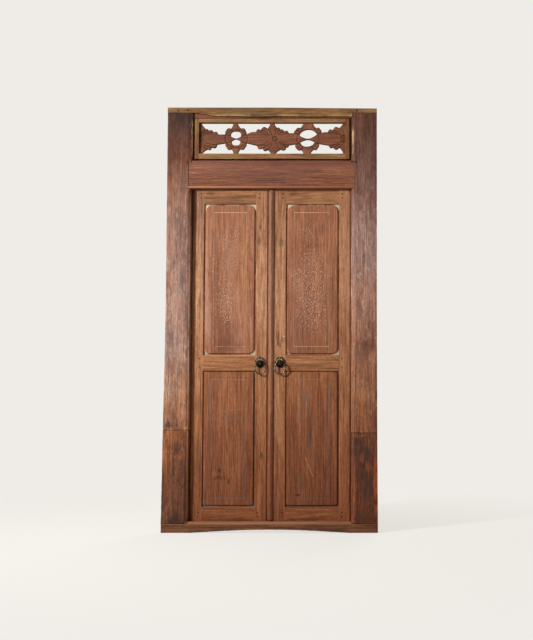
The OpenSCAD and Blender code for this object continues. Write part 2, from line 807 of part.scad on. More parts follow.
// Panel between two rails, with a sunk margin and a rounded field scored with a line
module panel(meet_x, z0, z1, field_r, line_in) {
    lip = groove_in - end_gap;
    slope_in = margin_w - margin_slope;
    color(panel_color) difference() {
        union() {
            box([heel_x - lip, groove_y + fit, z0 - lip],
                [meet_x + lip, groove_y + groove_w - fit, z1 + lip]);
            hull() {
                slab(field_set, field_set + 0.5)
                    round_rect(heel_x + margin_w, z0 + margin_w, meet_x - margin_w,
                               z1 - margin_w, field_r);
                slab(groove_y, groove_y + 1)
                    round_rect(heel_x + slope_in, z0 + slope_in, meet_x - slope_in,
                               z1 - slope_in, field_r);
            }
        }
        slab(field_set - over, field_set + line_d) difference() {
            translate([heel_x + line_in[0], z0 + line_end])
                square([meet_x - heel_x - line_in[0] - line_in[1], z1 - z0 - 2 * line_end]);
            translate([heel_x + line_in[0] + line_w, z0 + line_end + line_w])
                square([meet_x - heel_x - line_in[0] - line_in[1] - 2 * line_w,
                        z1 - z0 - 2 * (line_end + line_w)]);
        }
    }
}

// ---------------------------------------------------------------- bead on the left leaf

bead_x = left_edge - bead_w / 2;
bead_z0 = lip_z + bead_gap;
bead_z1 = lintel_z - bead_gap;

// The brads stand through the bead's crown
module brad_rods(y0, d) {
    for (i = [0:brad_count - 1])
        rod_y(bead_x, bead_z0 + (bead_z1 - bead_z0) * (i + 0.5) / brad_count, y0,
              -bead_h + brad_l + (d - brad_d) / 2, d);
}

module quirk_cut() {
    x = left_edge - bead_w - quirk_w;
    translate([0, 0, leaf_z0 - over]) linear_extrude(leaf_z1 - leaf_z0 + 2 * over)
        polygon([[x, -over], [x, 0], [x + quirk_w * 0.6, quirk_d], [x + quirk_w, quirk_d],
                 [x + quirk_w, -over]]);
}

module left_meeting_stile() {
    color(leaf_color) left_leaf() difference() {
        meeting_stile(left_meet_x, left_edge);
        quirk_cut();
        brad_rods(-bead_h, brad_d + 2 * peg_fit);
    }
}

module astragal() {
    crown_r = (bead_w * bead_w / 4 + bead_h * bead_h) / (2 * bead_h);
    color(bead_color) left_leaf() difference() {
        translate([bead_x, 0, bead_z0]) linear_extrude(bead_z1 - bead_z0) intersection() {
            translate([0, crown_r - bead_h]) circle(crown_r, $fn = 96);
            translate([-bead_w / 2, -bead_h]) square([bead_w, bead_h]);
        }
        brad_rods(-bead_h - over, brad_d + 2 * peg_fit);
    }
}

module astragal_brads() {
    color(iron_color) left_leaf() brad_rods(-bead_h, brad_d);
}

// ---------------------------------------------------------------- ring pulls

// Height of the rose's dome at a radius
function dome(r) = rose_h * sqrt(max(0, 1 - pow(r / (rose_d / 2 - 1), 2)));

// Pressed rose: a thin dome with a flat rim, bored for the eye's shank
module rose() {
    rim_r = rose_d / 2;
    hole_r = shank_d / 2 + shank_fit;
    steps = 10;
    reach = rim_r - 1 - rose_t;
    outer = [for (i = [0:steps]) let (r = hole_r + (reach - hole_r) * i / steps)
                [r, max(dome(r), rose_t)]];
    inner = [for (i = [steps:-1:0]) let (r = hole_r + (reach - rose_t - hole_r) * i / steps)
                [r, max(dome(r) - rose_t, 0)]];
    color(brass_color) rotate([90, 0, 0]) rotate_extrude($fn = 96)
        polygon(concat(outer, [[rim_r, rose_t], [rim_r, 0]], inner));
}

// Split eye: the ring hangs in it, and its two legs are clenched behind the leaf
module pull_eye() {
    color(brass_color) {
        difference() {
            translate([-eye_w / 2, -ring_out, 0]) rotate([0, 90, 0]) cylinder(h = eye_w, r = eye_r);
            translate([-eye_w, -ring_out, 0]) rotate([0, 90, 0])
                cylinder(h = 2 * eye_w, r = eye_hole_r);
        }
        rod_y(0, 0, -ring_out + eye_hole_r + 0.5, leaf_t + washer_t + leg_t, shank_d);
        box([-leg_l, leaf_t + washer_t, -leg_w / 2],
            [leg_l, leaf_t + washer_t + leg_t, leg_w / 2]);
    }
}

module clench_washer() {
    color(brass_color) difference() {
        rod_y(0, 0, leaf_t, leaf_t + washer_t, washer_d);
        rod_y(0, 0, leaf_t - over, leaf_t + washer_t + over, shank_d + 2 * shank_fit);
    }
}

// The ring hangs by its own weight, its bar a little below the middle of the eye
module ring() {
    color(brass_color) translate([0, -ring_out, -ring_seat - ring_r]) rotate([90, 0, 0])
        rotate_extrude($fn = 96) translate([ring_r, 0]) circle(d = ring_bar, $fn = 32);
}

module at_pull(meet_x) {
    translate([meet_x + rose_in, 0, pull_z]) children();
}

// ---------------------------------------------------------------- assembly

left_post();
left_post_foot();
right_post();
right_post_foot();
sill();
lintel();
head_rail();
cap_board();
transom_top();
transom_bottom();
transom_left();
transom_right();
fretwork();
frame_pegs();
cap_nails();
corner_nails();

left_leaf() heel_stile(left_meet_x);  // left_heel_stile
left_meeting_stile();
left_leaf() rail(left_meet_x, top_rail);  // left_top_rail
left_leaf() rail(left_meet_x, lock_rail);  // left_lock_rail
left_leaf() rail(left_meet_x, bottom_rail);  // left_bottom_rail
left_leaf() panel(left_meet_x, lock_rail[1], top_rail[0], upper_field_r, left_upper_line);  // left_upper_panel
left_leaf() panel(left_meet_x, bottom_rail[1], lock_rail[0], lower_field_r, left_lower_line);  // left_lower_panel
left_leaf() leaf_pegs(left_meet_x);  // left_leaf_pegs
astragal();
astragal_brads();
left_leaf() at_pull(left_meet_x) rose();  // left_pull_rose
left_leaf() at_pull(left_meet_x) pull_eye();  // left_pull_eye
left_leaf() at_pull(left_meet_x) clench_washer();  // left_clench_washer
left_leaf() at_pull(left_meet_x) ring();  // left_ring

right_leaf() heel_stile(right_meet_x);  // right_heel_stile
color(leaf_color) right_leaf() meeting_stile(right_meet_x, right_edge);  // right_meeting_stile
right_leaf() rail(right_meet_x, top_rail);  // right_top_rail
right_leaf() rail(right_meet_x, lock_rail);  // right_lock_rail
right_leaf() rail(right_meet_x, bottom_rail);  // right_bottom_rail
right_leaf() panel(right_meet_x, lock_rail[1], top_rail[0], upper_field_r, right_upper_line);  // right_upper_panel
right_leaf() panel(right_meet_x, bottom_rail[1], lock_rail[0], lower_field_r,  // right_lower_panel
                       right_lower_line);
right_leaf() leaf_pegs(right_meet_x);  // right_leaf_pegs
right_leaf() at_pull(right_meet_x) rose();  // right_pull_rose
right_leaf() at_pull(right_meet_x) pull_eye();  // right_pull_eye
right_leaf() at_pull(right_meet_x) clench_washer();  // right_clench_washer
right_leaf() at_pull(right_meet_x) ring();  // right_ring
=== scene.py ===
# %% [markdown]
# # A carved double door in its frame
# This lesson dresses a door that is already built as exact solids: two leaves of two panels each,
# a frame of hewn posts and beams, and a pierced carving over the lintel. Nothing is moved or
# resized here. What Blender adds is what the eye reads first: old teak with its grain, stains and
# rubbed paint, edges worn round, a carving cut in relief, and brass that has been handled.

# %% Load the fixed frame
import math
import bmesh
import bpy
import numpy as np
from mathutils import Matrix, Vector, kdtree, noise


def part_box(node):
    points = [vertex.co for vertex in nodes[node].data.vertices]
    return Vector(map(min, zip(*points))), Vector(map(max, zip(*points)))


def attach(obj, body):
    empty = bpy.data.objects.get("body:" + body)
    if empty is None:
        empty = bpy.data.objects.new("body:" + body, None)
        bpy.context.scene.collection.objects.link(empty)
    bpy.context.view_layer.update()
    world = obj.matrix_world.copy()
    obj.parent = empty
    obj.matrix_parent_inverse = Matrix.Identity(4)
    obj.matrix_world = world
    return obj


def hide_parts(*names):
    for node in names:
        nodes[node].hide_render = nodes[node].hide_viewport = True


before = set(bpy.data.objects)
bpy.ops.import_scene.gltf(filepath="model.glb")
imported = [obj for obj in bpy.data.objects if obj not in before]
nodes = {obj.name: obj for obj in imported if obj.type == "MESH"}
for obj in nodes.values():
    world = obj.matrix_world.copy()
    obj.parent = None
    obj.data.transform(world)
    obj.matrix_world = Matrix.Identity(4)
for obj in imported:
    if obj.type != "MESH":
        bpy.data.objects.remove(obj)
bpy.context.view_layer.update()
MM = 0.001

# %% [markdown]
# ## The camera
# The door is looked at from a little right of its middle, from hip height, with the camera tipped
# up slightly. A sideways lens shift keeps the picture plane parallel to the door, so that its
# verticals lean only as much as the tipping makes them. Turning the camera instead would make one
# side of the door taller than the other.

# %% Camera
CAMERA_AT = (0.500, -5.030, 0.7985)
TIPPED_UP = 3.31
LENS, SIDEWAYS_SHIFT = 54.59, -0.1577
camera_data = bpy.data.cameras.new("camera")
camera_data.sensor_width = 36
camera_data.lens = LENS
camera_data.shift_x = SIDEWAYS_SHIFT
camera = bpy.data.objects.new("camera", camera_data)
camera.location = CAMERA_AT
camera.rotation_euler = (math.radians(90 + TIPPED_UP), 0, 0)
bpy.context.scene.collection.objects.link(camera)
bpy.context.scene.camera = camera
bpy.context.scene.view_settings.view_transform = "Standard"
print("camera", CAMERA_AT, "lens", camera_data.lens)

# %% [markdown]
# ## Building finishes from nodes
# A finish is a small network of nodes. This helper keeps the networks readable: each method adds
# one node, plugs in what it is given, numbers or other nodes' outputs alike, and returns the
# output. Texture coordinates are the object's own, which here are metres in the door's frame, so
# a stain can be placed by its real position and it swings with its leaf.

# %% Colours and the finish helper
def tint(red, green, blue):
    """A colour given as a painter reads it on a screen, 0 to 255, as linear light."""
    def linear(value):
        value /= 255
        return value / 12.92 if value <= 0.04045 else ((value + 0.055) / 1.055) ** 2.4
    return (linear(red), linear(green), linear(blue), 1)


class Finish:
    """A material under construction."""

    def __init__(self, name, roughness=0.6, metallic=0.0):
        self.material = bpy.data.materials.new(name)
        self.material.use_nodes = True
        tree = self.material.node_tree
        self.nodes, self.links = tree.nodes, tree.links
        self.shader = tree.nodes["Principled BSDF"]
        self.shader.inputs["Roughness"].default_value = roughness
        self.shader.inputs["Metallic"].default_value = metallic
        self.shader.inputs["Specular IOR Level"].default_value = 0.5 if metallic else 0.22
        self.where = self.add("ShaderNodeTexCoord").outputs["Object"]
        split = self.add("ShaderNodeSeparateXYZ")
        self.plug(split.inputs[0], self.where)
        self.x, self.y, self.z = split.outputs

    def add(self, kind, **settings):
        node = self.nodes.new(kind)
        for key, value in settings.items():
            setattr(node, key, value)
        return node

    def plug(self, socket, value):
        if isinstance(value, bpy.types.NodeSocket):
            self.links.new(value, socket)
        elif value is not None:
            socket.default_value = value

    def math(self, operation, a, b=None, c=None, clamp=False):
        node = self.add("ShaderNodeMath", operation=operation, use_clamp=clamp)
        for socket, value in zip(node.inputs, (a, b, c)):
            self.plug(socket, value)
        return node.outputs[0]

    def length(self, a, b):
        """The long side of a right-angled triangle with sides a and b."""
        return self.math("SQRT", self.math("ADD", self.math("POWER", a, 2.0),
                                           self.math("POWER", b, 2.0)))

    def vector(self, operation, a, b=None):
        node = self.add("ShaderNodeVectorMath", operation=operation)
        self.plug(node.inputs[0], a)
        self.plug(node.inputs["Scale" if operation == "SCALE" else 1], b)
        return node.outputs["Value" if operation in ("LENGTH", "DISTANCE") else "Vector"]

    def step(self, value, start, end, low=0.0, high=1.0, rise="SMOOTHSTEP"):
        """Goes from low to high as value goes from start to end, smoothly or LINEAR."""
        node = self.add("ShaderNodeMapRange", interpolation_type=rise)
        for socket, v in zip(node.inputs, (value, start, end, low, high)):
            self.plug(socket, v)
        return node.outputs[0]

    def band(self, value, start, end, soft):
        """1 between start and end, fading out over soft on both sides."""
        rise = self.step(value, start - soft, start)
        fall = self.step(value, end + soft, end)
        return self.math("MULTIPLY", rise, fall)

    def mix(self, share, a, b, how="MIX"):
        node = self.add("ShaderNodeMix", data_type="RGBA", blend_type=how)
        self.plug(node.inputs[0], share)
        self.plug(node.inputs[6], a)
        self.plug(node.inputs[7], b)
        return node.outputs[2]

    def ramp(self, value, stops):
        node = self.add("ShaderNodeValToRGB")
        self.plug(node.inputs[0], value)
        elements = node.color_ramp.elements
        while len(elements) < len(stops):
            elements.new(0.5)
        for element, (position, colour) in zip(elements, stops):
            element.position, element.color = position, colour
        return node.outputs[0]

    def placed(self, scale, offset=(0, 0, 0)):
        node = self.add("ShaderNodeMapping")
        self.plug(node.inputs["Vector"], self.where)
        self.plug(node.inputs["Scale"], scale)
        self.plug(node.inputs["Location"], offset)
        return node.outputs[0]

    def noise(self, scale, offset=(0, 0, 0), detail=2.0, rough=0.5, bend=0.0):
        """Cloudy values round 0.5; scale is how many blobs fit in a metre along each axis."""
        node = self.add("ShaderNodeTexNoise")
        self.plug(node.inputs["Vector"], self.placed(scale, offset))
        self.plug(node.inputs["Scale"], 1.0)
        self.plug(node.inputs["Detail"], detail)
        self.plug(node.inputs["Roughness"], rough)
        self.plug(node.inputs["Distortion"], bend)
        return node.outputs["Fac"]

    def bump(self, height, depth, strength=1.0):
        node = self.add("ShaderNodeBump")
        self.plug(node.inputs["Strength"], strength)
        self.plug(node.inputs["Distance"], depth)
        self.plug(node.inputs["Height"], height)
        self.plug(self.shader.inputs["Normal"], node.outputs[0])

    def done(self, colour, roughness=None):
        self.plug(self.shader.inputs["Base Color"], colour)
        self.plug(self.shader.inputs["Roughness"], roughness)
        return self.material


print("finish helper ready")

# %% [markdown]
# ## Floor, backdrop and light
# The pale surroundings are a world colour that only the camera sees, with a weaker, even world
# light for the shadows. The floor is a wide disc whose own glow matches the backdrop at its rim,
# so no horizon shows, while close to the door it takes a soft shadow. The key light is a soft
# panel high on the left: it throws the posts' shadow across the edge of the recessed leaves, and
# lights the top of the door more than its foot.

# %% Surroundings
PALE = tint(239, 236, 231)
FILL, FILL_COLOUR = 0.38, (1.0, 0.82, 0.66, 1)
world = bpy.data.worlds.new("surroundings")
bpy.context.scene.world = world
world.use_nodes = True
tree = world.node_tree
seen = tree.nodes["Background"]
seen.inputs["Color"].default_value = PALE
lit = tree.nodes.new("ShaderNodeBackground")
lit.inputs["Color"].default_value = FILL_COLOUR
lit.inputs["Strength"].default_value = FILL
path = tree.nodes.new("ShaderNodeLightPath")
choose = tree.nodes.new("ShaderNodeMixShader")
tree.links.new(path.outputs["Is Camera Ray"], choose.inputs[0])
tree.links.new(lit.outputs[0], choose.inputs[1])
tree.links.new(seen.outputs[0], choose.inputs[2])
tree.links.new(choose.outputs[0], tree.nodes["World Output"].inputs["Surface"])

FLOOR_RADIUS, FLOOR_DROP = 9.0, 0.0005
# Full shadow within the first distance from the door, none beyond the second, and its strength
SHADOW_FULL, SHADOW_NONE, SHADOW_SHARE = 0.4, 2.6, 0.24
mesh = bpy.data.meshes.new("floor")
disc = bmesh.new()
bmesh.ops.create_circle(disc, cap_ends=True, radius=FLOOR_RADIUS, segments=96)
disc.to_mesh(mesh)
disc.free()
floor = bpy.data.objects.new("floor", mesh)
floor.location.z = -FLOOR_DROP
floor.visible_diffuse = False
floor.visible_glossy = False
bpy.context.scene.collection.objects.link(floor)

pale = Finish("pale floor", roughness=1.0)
near = pale.step(pale.vector("LENGTH", pale.where), SHADOW_NONE, SHADOW_FULL)
glow = pale.add("ShaderNodeEmission")
pale.plug(glow.inputs["Color"], PALE)
pale.plug(pale.shader.inputs["Base Color"], tint(238, 238, 236))
pale.plug(pale.shader.inputs["Specular IOR Level"], 0.0)
blend = pale.add("ShaderNodeMixShader")
pale.plug(blend.inputs[0], pale.math("MULTIPLY", near, SHADOW_SHARE))
pale.plug(blend.inputs[1], glow.outputs[0])
pale.plug(blend.inputs[2], pale.shader.outputs[0])
pale.plug(pale.nodes["Material Output"].inputs["Surface"], blend.outputs[0])
mesh.materials.append(pale.material)
print("floor and backdrop ready")

# %% Lights
def panel_light(name, at, towards, size, power, colour=(1, 1, 1)):
    data = bpy.data.lights.new(name, "AREA")
    data.shape, data.size, data.energy, data.color = "DISK", size, power, colour
    light = bpy.data.objects.new(name, data)
    light.location = at
    light.rotation_euler = (Vector(towards) - Vector(at)).to_track_quat("-Z", "Y").to_euler()
    bpy.context.scene.collection.objects.link(light)


panel_light("key", at=(-3.55, -2.80, 2.75), towards=(0, 0, 1.35), size=0.60, power=312,
            colour=(0.985, 0.988, 0.975))
panel_light("back fill", at=(1.6, 4.2, 2.4), towards=(0, 0, 1.1), size=2.4, power=110)

# %% [markdown]
# ## Wood
# Every board of the door is teak, but no two boards look the same. One function paints them all:
# broad figure whose contour lines give the arches of flat-sawn boards, streaks and fibres drawn
# out along the grain, short dark pores, and a bump from the same fibres. What differs from board
# to board is the direction of the grain, the tones, and what has happened to the surface since:
# stains, knots, worn arrises and the remains of paint, each laid on at its own place.

# %% The wood painter
# What the wood's own colour is multiplied by in its rings, its dirt and its rubbed places
RING_SHADE, DIRT_SHADE = (0.42, 0.36, 0.34, 1), (0.38, 0.32, 0.30, 1)
RUBBED_SHADE = (1.75, 1.72, 1.70, 1)
PORE_COLOUR = (0.03, 0.016, 0.01, 1)


class Wood(Finish):
    """Teak with its grain along one axis of the door, "x" or "z"."""

    def __init__(self, name, along, dark, middle, light, seed=0, rings=13, ring_share=0.30,
                 figure=(7.0, 0.75), knots=(), roughness=0.60, rough_wear=0.62):
        super().__init__(name, roughness)
        self.along, self.seed = along, seed
        shift = (seed * 3.17, seed * 1.31, seed * 2.23)
        if knots:
            self.flow_round(knots)
        # Broad figure, whose contour lines are the rings
        broad = self.noise(self.spread(*figure), shift, detail=1.5, bend=0.5)
        wave = self.math("SINE", self.math("MULTIPLY", broad, rings * 2 * math.pi))
        ring = self.step(wave, -0.2, 1.0)
        # Streaks, mottling, fibres and pores, from the widest to the finest
        streak = self.noise(self.spread(190, 4.5), shift, detail=4, rough=0.60)
        mottle = self.noise(self.spread(110, 16), shift, detail=5, rough=0.66)
        fibre = self.noise(self.spread(620, 13), shift, detail=2)
        pore = self.noise(self.spread(1000, 50), shift, detail=1)
        tone = self.math("ADD", self.math("MULTIPLY", streak, 0.50), self.math(
            "ADD", self.math("MULTIPLY", broad, 0.32), self.math("MULTIPLY", mottle, 0.18)))
        colour = self.ramp(tone, [(0.38, dark), (0.50, middle), (0.61, light)])
        colour = self.mix(self.math("MULTIPLY", ring, ring_share), colour,
                          self.mix(1.0, colour, RING_SHADE, "MULTIPLY"))
        shade = self.step(fibre, 0.28, 0.72, 0.80, 1.16)
        colour = self.mix(1.0, colour, self.grey(shade), "MULTIPLY")
        # Dirt where this noise is high, rubbed places where it is low
        scuff = self.noise(self.spread(270, 42), shift, detail=4, rough=0.7)
        colour = self.mix(self.step(scuff, 0.54, 0.68, 0.0, rough_wear), colour,
                          self.mix(1.0, colour, DIRT_SHADE, "MULTIPLY"))
        colour = self.mix(self.step(scuff, 0.46, 0.34, 0.0, rough_wear * 0.8), colour,
                          self.mix(1.0, colour, RUBBED_SHADE, "MULTIPLY"))
        pores = self.step(pore, 0.64, 0.72)
        colour = self.mix(self.math("MULTIPLY", pores, 0.45), colour, PORE_COLOUR)
        self.colour = colour
        # Fibres stand up; pores and rings are lower
        height = self.math("SUBTRACT", self.math("MULTIPLY", fibre, 0.7),
                           self.math("MULTIPLY", pores, 0.5))
        self.height = self.math("SUBTRACT", height, self.math("MULTIPLY", ring, 0.25))
        self.rough = self.step(streak, 0.3, 0.7, roughness - 0.08, roughness + 0.10)

    def spread(self, across, lengthwise):
        return (lengthwise, across, across) if self.along == "x" else (across, across, lengthwise)

    def grey(self, value):
        node = self.add("ShaderNodeCombineXYZ")
        for socket in node.inputs:
            self.plug(socket, value)
        return node.outputs[0]

    def from_middle(self, x, z, wide, high):
        """0 at x, z and 1 on the oval of this half width and half height, in millimetres."""
        wide, high = wide * MM, high * MM
        return self.vector("LENGTH", self.placed((1 / wide, 0, 1 / high),
                                                 (-x * MM / wide, 0, -z * MM / high)))

    def oval(self, x, z, wide, high, ragged=0.6, soft=0.7, grain=95):
        """1 in an oval at x, z, fading to 0 round its ragged edge."""
        edge = self.noise(self.spread(grain, grain * 0.22), (x * 0.01, 0, z * 0.01),
                          detail=5, rough=0.62)
        edge = self.math("MULTIPLY_ADD", self.math("SUBTRACT", edge, 0.5), ragged * 4,
                         self.from_middle(x, z, wide, high))
        return self.step(edge, 1.0, 1.0 - soft)

    def flow_round(self, knots, long=3.4, wide=1.3):
        """Bends the grain round knots: each is x, z, radius in millimetres."""
        halves = (wide, long) if self.along == "z" else (long, wide)
        for x, z, radius in knots:
            away = self.from_middle(x, z, halves[0] * radius, halves[1] * radius)
            pull = self.step(away, 1.25, 0.0, 0.0, 0.62)
            aim = self.vector("SUBTRACT", (x * MM, 0, z * MM), self.where)
            drag = self.vector("SCALE", aim, self.math("MULTIPLY", pull, -0.8))
            self.where = self.vector("ADD", self.where, drag)

    def patches(self, scale, start, end, offset, detail=3):
        """What wear has left of a paint: 0 where an even noise is under start, 1 past end."""
        cloud = self.noise((scale,) * 3, (self.seed, *offset), detail=detail)
        return self.step(cloud, start, end)

    def stain(self, colour, *ovals, share=0.8, **kind):
        """Lays colour over ovals, each x, z, half width, half height and how strong."""
        for x, z, wide, high, strong in ovals:
            mask = self.math("MULTIPLY", self.oval(x, z, wide, high, **kind), strong * share)
            self.colour = self.mix(mask, self.colour, colour)

    def clouds(self, colour, scale, start, end, share, seed=0, detail=4, rough=0.6):
        """Lays colour over the board in patches where a noise passes from start to end."""
        cloud = self.noise(scale, (self.seed + seed, seed * 2.7, seed), detail=detail, rough=rough)
        mask = self.math("MULTIPLY", self.step(cloud, start, end), share)
        self.colour = self.mix(mask, self.colour, colour)

    def strip(self, axis, start, end, soft, colour, share, broken=None):
        """A strip between two positions in millimetres, on axis x, y or z."""
        line = self.band(getattr(self, axis), start * MM, end * MM, soft * MM)
        if broken:
            line = self.math("MULTIPLY", line, self.patches(*broken, (3, start * 0.1)))
        self.colour = self.mix(self.math("MULTIPLY", line, share), self.colour, colour)

    def fade(self, axis, stops):
        """Multiplies the colour along an axis: stops are position in millimetres and shade."""
        low, high = stops[0][0], stops[-1][0]
        along = self.step(getattr(self, axis), low * MM, high * MM, rise="LINEAR")
        shade = self.ramp(along, [((at - low) / (high - low), shade) for at, shade in stops])
        self.colour = self.mix(1.0, self.colour, shade, "MULTIPLY")

    def finish(self, bump=0.45, depth=0.0009):
        self.bump(self.height, depth, bump)
        return self.done(self.colour, self.rough)


def dress(material, *names):
    """Gives a finish to CAD pieces."""
    for name in names:
        nodes[name].material_slots[0].material = material
    print(material.name, "on", ", ".join(names))

# %% [markdown]
# ## The leaves
# The stiles and rails are the warmest and least stained wood on the door: they were sheltered by
# the frame. Stiles have upright grain and rails lie across, and that change of direction at each
# joint is what makes a framed leaf read as framed. Painted shade makes each leaf darker at its foot
# and near its top, where less light falls; the foot is also redder and the top greyer in the wood.

# %% Stiles and rails
# Painted shade of the leaves from the foot to the top, darker where less light falls, and partly
# the wood's own redder foot and greyer top
LEAF_PAINTED_SHADE = [(60, (0.54, 0.36, 0.27, 1)), (280, (0.69, 0.49, 0.37, 1)),
              (700, (0.87, 0.75, 0.61, 1)), (1220, (1.0, 1.0, 1.0, 1)),
              (1630, (0.84, 0.80, 0.76, 1)), (1790, (0.80, 0.75, 0.68, 1))]
STILE = dict(dark=tint(128, 87, 62), middle=tint(173, 124, 91), light=tint(201, 155, 121))
RAIL = dict(dark=tint(124, 84, 58), middle=tint(167, 118, 82), light=tint(192, 146, 108))


def stile(name, seed, knots=(), **kind):
    return Wood(name, "z", seed=seed, knots=knots, **{**STILE, **kind})


heel_left = stile("left heel stile teak", 1)
heel_left.stain(tint(70, 60, 52), (-370, 1190, 10, 60, 0.5), (-362, 330, 10, 90, 0.5))
heel_left.fade("z", LEAF_PAINTED_SHADE)
# Painted shade: the top of this stile, beside the post and under the lintel, darker still
heel_left.fade("z", [(1300, (1.0, 1.0, 1.0, 1)), (1600, (0.76, 0.77, 0.80, 1)),
                     (1760, (0.72, 0.73, 0.78, 1))])
dress(heel_left.finish(), "left_heel_stile")

meet_left = stile("left meeting stile teak", 2, knots=[(-48, 395, 17)])
meet_left.stain(tint(72, 70, 56), (-63, 1505, 17, 34, 0.75), ragged=0.5)
meet_left.stain(tint(60, 52, 50), (-60, 1575, 9, 20, 0.8), (-66, 1120, 7, 18, 0.3), ragged=0.5)
meet_left.stain(tint(52, 30, 20), (-45, 392, 17, 40, 0.85), (-42, 300, 8, 90, 0.45))
meet_left.stain(tint(120, 130, 128), (-58, 400, 7, 14, 0.6))
meet_left.fade("z", LEAF_PAINTED_SHADE)
dress(meet_left.finish(), "left_meeting_stile")

heel_right = stile("right heel stile teak", 3)
heel_right.stain(tint(110, 60, 36), (385, 1100, 9, 260, 0.4), (380, 420, 12, 200, 0.4))
heel_right.fade("z", LEAF_PAINTED_SHADE)
dress(heel_right.finish(), "right_heel_stile")

meet_right = stile("right meeting stile teak", 4)
meet_right.stain(tint(66, 60, 46), (50, 1494, 20, 34, 0.65), ragged=0.5)
meet_right.stain(tint(44, 26, 20), (37, 985, 8, 62, 0.9), (28, 1010, 5, 40, 0.8),
                 (47, 960, 5, 24, 0.7), ragged=0.6)
meet_right.stain(tint(96, 84, 76), (57, 985, 12, 18, 0.6))
meet_right.stain(tint(226, 214, 196), (66, 1004, 5, 5, 0.9), ragged=0.2)
meet_right.fade("z", LEAF_PAINTED_SHADE)
meet_right.fade("z", [(60, (0.80, 0.79, 0.79, 1)), (700, (0.76, 0.76, 0.77, 1)),
                      (960, (1.0, 1.0, 1.0, 1))])
dress(meet_right.finish(), "right_meeting_stile")

for side, seed in (("left", 5), ("right", 6)):
    for part, more in (("top_rail", 0.1), ("lock_rail", 0.4), ("bottom_rail", 0.7)):
        rail = Wood(f"{side} {part} teak", "x", seed=seed + more, **RAIL)
        sign = -1 if side == "left" else 1
        if part == "top_rail":
            rail.stain(tint(84, 50, 34), (sign * 215 - 100, 1752, 34, 16, 0.7), ragged=0.5)
        if part == "bottom_rail":
            rail.stain(tint(60, 32, 22), (sign * 200, 62, 120, 14, 0.45),
                       (110, 66, 30, 14, 0.5), ragged=0.5)
        rail.fade("z", LEAF_PAINTED_SHADE)
        dress(rail.finish(), f"{side}_{part}")

# %% [markdown]
# The bead that covers the gap between the leaves was planed from a greyer piece of wood and is
# handled often, so it is smoother and pinker than the stile it is nailed to. The pegs show end
# grain: the same painter, with its figure made as wide as it is long.

# %% Bead, pegs and brads
bead = Wood("bead wood", "z", tint(112, 76, 57), tint(145, 102, 80), tint(166, 124, 101), seed=7,
            ring_share=0.12, roughness=0.52)
bead.fade("z", LEAF_PAINTED_SHADE)
bead_finish = bead.finish(bump=0.3)

peg = Wood("peg end grain", "x", tint(26, 15, 10), tint(48, 28, 18), tint(80, 52, 36), seed=8,
           ring_share=0.1, figure=(60, 60))
dress(peg.finish(), "left_leaf_pegs", "right_leaf_pegs", "frame_pegs")

# %% [markdown]
# ## The panels
# Each panel is one wide board, redder than its frame. Its field is bordered by a scored line that
# once held paint: cream above the lock rail, blue-grey below it. The same paint survives in the
# corners outside the field, where no hand or cloth reached. The line is found as a distance: for
# any point, how far it is from the edge of a rectangle. Close to zero is the line itself.

